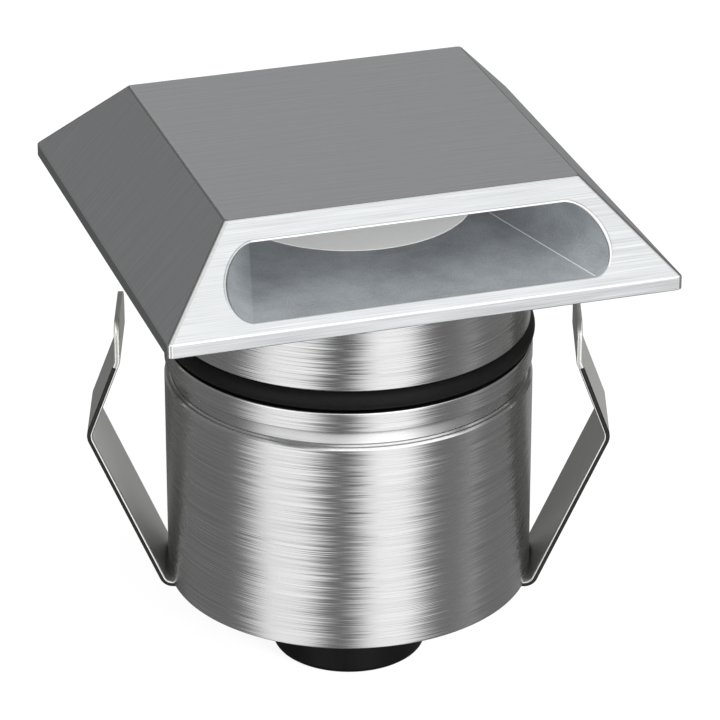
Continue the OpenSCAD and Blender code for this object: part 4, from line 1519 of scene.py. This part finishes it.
@dataclass
class Studio:
    """Camera, floor, world and lamps."""

    camera_place: tuple[float, float, float] = (-0.179178, -0.567182, 0.263400)
    camera_pitch: float = 64.194
    camera_azimuth: float = -17.708
    camera_lens: float = 208.77
    room: float = 0.22
    room_low: float = 0.145
    tall: tuple[TallPanel, ...] = (
        TallPanel(-40, 17.5, 15, 1.34),
        TallPanel(26.5, 16, 13, 1.48),
        TallPanel(82, 3, 5, 0.26),
        TallPanel(160, 18, 10, 0.2, -8),
        TallPanel(-148, 9, 5, -0.05, -22),
        TallPanel(134, 3, 4, 0.15, -22),
        TallPanel(-96, 32, 8, 0.07, -22),
        TallPanel(90, 40, 8, 0.09, -22),
    )
    overhead: OverheadPanel = OverheadPanel((0.07, -0.34, 0.94), 37, 54, 1.28)
    panel_low: float = -34.0
    panel_fade: float = 25.0
    room_low_end: float = -24.0
    white: float = 1.0

    def camera(self) -> None:
        """Places the camera at the photograph's viewing angle."""
        data = bpy.data.cameras.new("camera")
        data.lens = self.camera_lens
        data.sensor_width = 36
        data.clip_start, data.clip_end = 0.01, 20
        camera = bpy.data.objects.new("camera", data)
        camera.location = self.camera_place
        camera.rotation_euler = (math.radians(self.camera_pitch), 0, math.radians(self.camera_azimuth))
        bpy.context.scene.collection.objects.link(camera)
        bpy.context.scene.camera = camera

    def floor(self) -> None:
        """Lays a plain pale floor under the gland, white to the camera, with the soft shadow kept."""
        half = 3.0
        z = CAD_BOX[0].z - 0.0001
        corners = [(x * half, y * half, z) for x, y in ((-1, -1), (1, -1), (1, 1), (-1, 1))]
        mesh = bpy.data.meshes.new("floor")
        mesh.from_pydata(corners, [], [[0, 1, 2, 3]])
        floor = bpy.data.objects.new("floor", mesh)
        bpy.context.scene.collection.objects.link(floor)
        made = bpy.data.materials.new("floor_paper_white")
        made.use_nodes = True
        tree = made.node_tree
        tree.nodes.clear()
        paper = add_node(tree, "BsdfDiffuse", {"Color": hex_colour("#e8e8e6")})
        thin = add_node(tree, "BsdfDiffuse", {"Color": hex_colour("#6a6a6a")})
        glow = add_node(tree, "Emission", {"Color": (1, 1, 1, 1), "Strength": 0.88})
        seen = add_node(tree, "AddShader", {0: thin.outputs[0], 1: glow.outputs[0]})
        parts = {0: self.seen_directly(tree), 1: paper.outputs[0], 2: seen.outputs[0]}
        mix = add_node(tree, "MixShader", parts)
        add_node(tree, "OutputMaterial", {"Surface": mix.outputs[0]})
        mesh.materials.append(made)
        floor.visible_glossy = False

    def seen_directly(self, tree: bpy.types.NodeTree) -> bpy.types.NodeSocket:
        """Gives 1 for rays from the camera or through glass, and 0 for others."""
        path = add_node(tree, "LightPath")
        either = add_node(
            tree, "Math", {0: path.outputs["Is Camera Ray"], 1: path.outputs["Is Transmission Ray"]},
            operation="MAXIMUM",
        )
        return either.outputs[0]

    def reflected(self, tree: bpy.types.NodeTree) -> bpy.types.NodeSocket:
        """Gives the brightness of the studio as metal sees it: a dim room with soft light panels."""
        way = add_node(tree, "TexCoord").outputs["Generated"]
        parts = add_node(tree, "SeparateXYZ", {0: way})
        back = add_node(tree, "Math", {0: parts.outputs["Y"], 1: -1.0}, operation="MULTIPLY")
        angle = add_node(tree, "Math", {0: parts.outputs["X"], 1: back.outputs[0]}, operation="ARCTAN2")
        foot = add_node(
            tree,
            "MapRange",
            {"Value": parts.outputs["Z"],
             "From Min": math.sin(math.radians(self.panel_low - self.panel_fade)),
             "From Max": math.sin(math.radians(self.panel_low)), "To Min": 0.0, "To Max": 1.0},
            interpolation_type="SMOOTHSTEP",
        )
        total = None
        for panel in self.tall:
            fade = add_node(
                tree,
                "MapRange",
                {"Value": parts.outputs["Z"], "From Min": math.sin(math.radians(panel.top)),
                 "From Max": math.sin(math.radians(panel.top + self.panel_fade)),
                 "To Min": 1.0, "To Max": 0.0},
                interpolation_type="SMOOTHSTEP",
            )
            centre = math.radians(panel.angle + self.camera_azimuth)
            off = add_node(tree, "Math", {0: angle.outputs[0], 1: centre}, operation="SUBTRACT")
            wrapped = add_node(tree, "Math", {0: off.outputs[0], 1: math.pi, 2: -math.pi}, operation="WRAP")
            size = add_node(tree, "Math", {0: wrapped.outputs[0]}, operation="ABSOLUTE")
            shape = add_node(
                tree,
                "MapRange",
                {"Value": size.outputs[0], "From Min": math.radians(panel.half_w - panel.soft / 2),
                 "From Max": math.radians(panel.half_w + panel.soft),
                 "To Min": panel.strength, "To Max": 0.0},
                interpolation_type="SMOOTHSTEP",
            )
            lit = add_node(tree, "Math", {0: shape.outputs[0], 1: fade.outputs[0]}, operation="MULTIPLY")
            low = add_node(tree, "Math", {0: lit.outputs[0], 1: foot.outputs[0]}, operation="MULTIPLY")
            total = self.plus(tree, total, low.outputs[0])
        above = self.overhead
        direction = unit(np.array(above.direction)).tolist()
        dot = add_node(tree, "VectorMath", {0: way, 1: direction}, operation="DOT_PRODUCT")
        shape = add_node(
            tree,
            "MapRange",
            {"Value": dot.outputs["Value"], "From Min": math.cos(math.radians(above.outer)),
             "From Max": math.cos(math.radians(above.inner)), "To Min": 0.0, "To Max": above.strength},
            interpolation_type="SMOOTHSTEP",
        )
        total = self.plus(tree, total, shape.outputs[0])
        room = add_node(
            tree,
            "MapRange",
            {"Value": parts.outputs["Z"],
             "From Min": math.sin(math.radians(self.room_low_end)), "From Max": 0.0,
             "To Min": self.room_low, "To Max": self.room},
        )
        return add_node(tree, "Math", {0: total, 1: room.outputs[0]}, operation="ADD").outputs[0]

    def plus(
        self, tree: bpy.types.NodeTree, a: bpy.types.NodeSocket | None, b: bpy.types.NodeSocket
    ) -> bpy.types.NodeSocket:
        """Adds two values, or passes on the second where there is no first."""
        return b if a is None else add_node(tree, "Math", {0: a, 1: b}, operation="ADD").outputs[0]

    def world(self) -> None:
        """Makes the world: white where it is seen, and the studio panels for all other rays."""
        world = bpy.data.worlds.new("studio")
        bpy.context.scene.world = world
        world.use_nodes = True
        tree = world.node_tree
        tree.nodes.clear()
        strength = add_node(
            tree, "Mix", {"Factor": self.seen_directly(tree), "A": self.reflected(tree), "B": self.white},
            data_type="FLOAT",
        ).outputs["Result"]
        background = add_node(tree, "Background", {"Color": (1, 1, 1, 1), "Strength": strength})
        add_node(tree, "OutputWorld", {"Surface": background.outputs[0]})

    def lamps(self) -> None:
        """Hangs three soft lamps, which model the matt pieces and stay out of reflections."""
        for name, place, size, power in (
            ("key", (0.42, -0.86, 0.2), 0.3, 15.0),
            ("side", (-0.35, -0.9, 0.19), 0.3, 7.0),
            ("fill", (-0.3, -0.5, 1.0), 0.8, 1.0),
        ):
            data = bpy.data.lights.new(name, "AREA")
            data.size, data.energy = size, power
            lamp = bpy.data.objects.new(name, data)
            lamp.location = place
            lamp.rotation_mode = "QUATERNION"
            lamp.rotation_quaternion = (-lamp.location).to_track_quat("-Z", "Y")
            lamp.visible_glossy = False
            bpy.context.scene.collection.objects.link(lamp)

    def build(self) -> None:
        """Builds the whole studio."""
        self.camera()
        self.floor()
        self.world()
        self.lamps()
        bpy.context.scene.view_settings.view_transform = "Standard"


def main() -> None:
    """Builds the studio and every piece of the light."""
    logging.basicConfig(level=logging.INFO, format="%(message)s")
    Studio().build()
    Head().dress()
    Neck().dress()
    Housing().dress()
    Gland().dress()
    SpringStrip().dress()
    dress_cad_nodes()


if __name__ == "__main__":
    main()
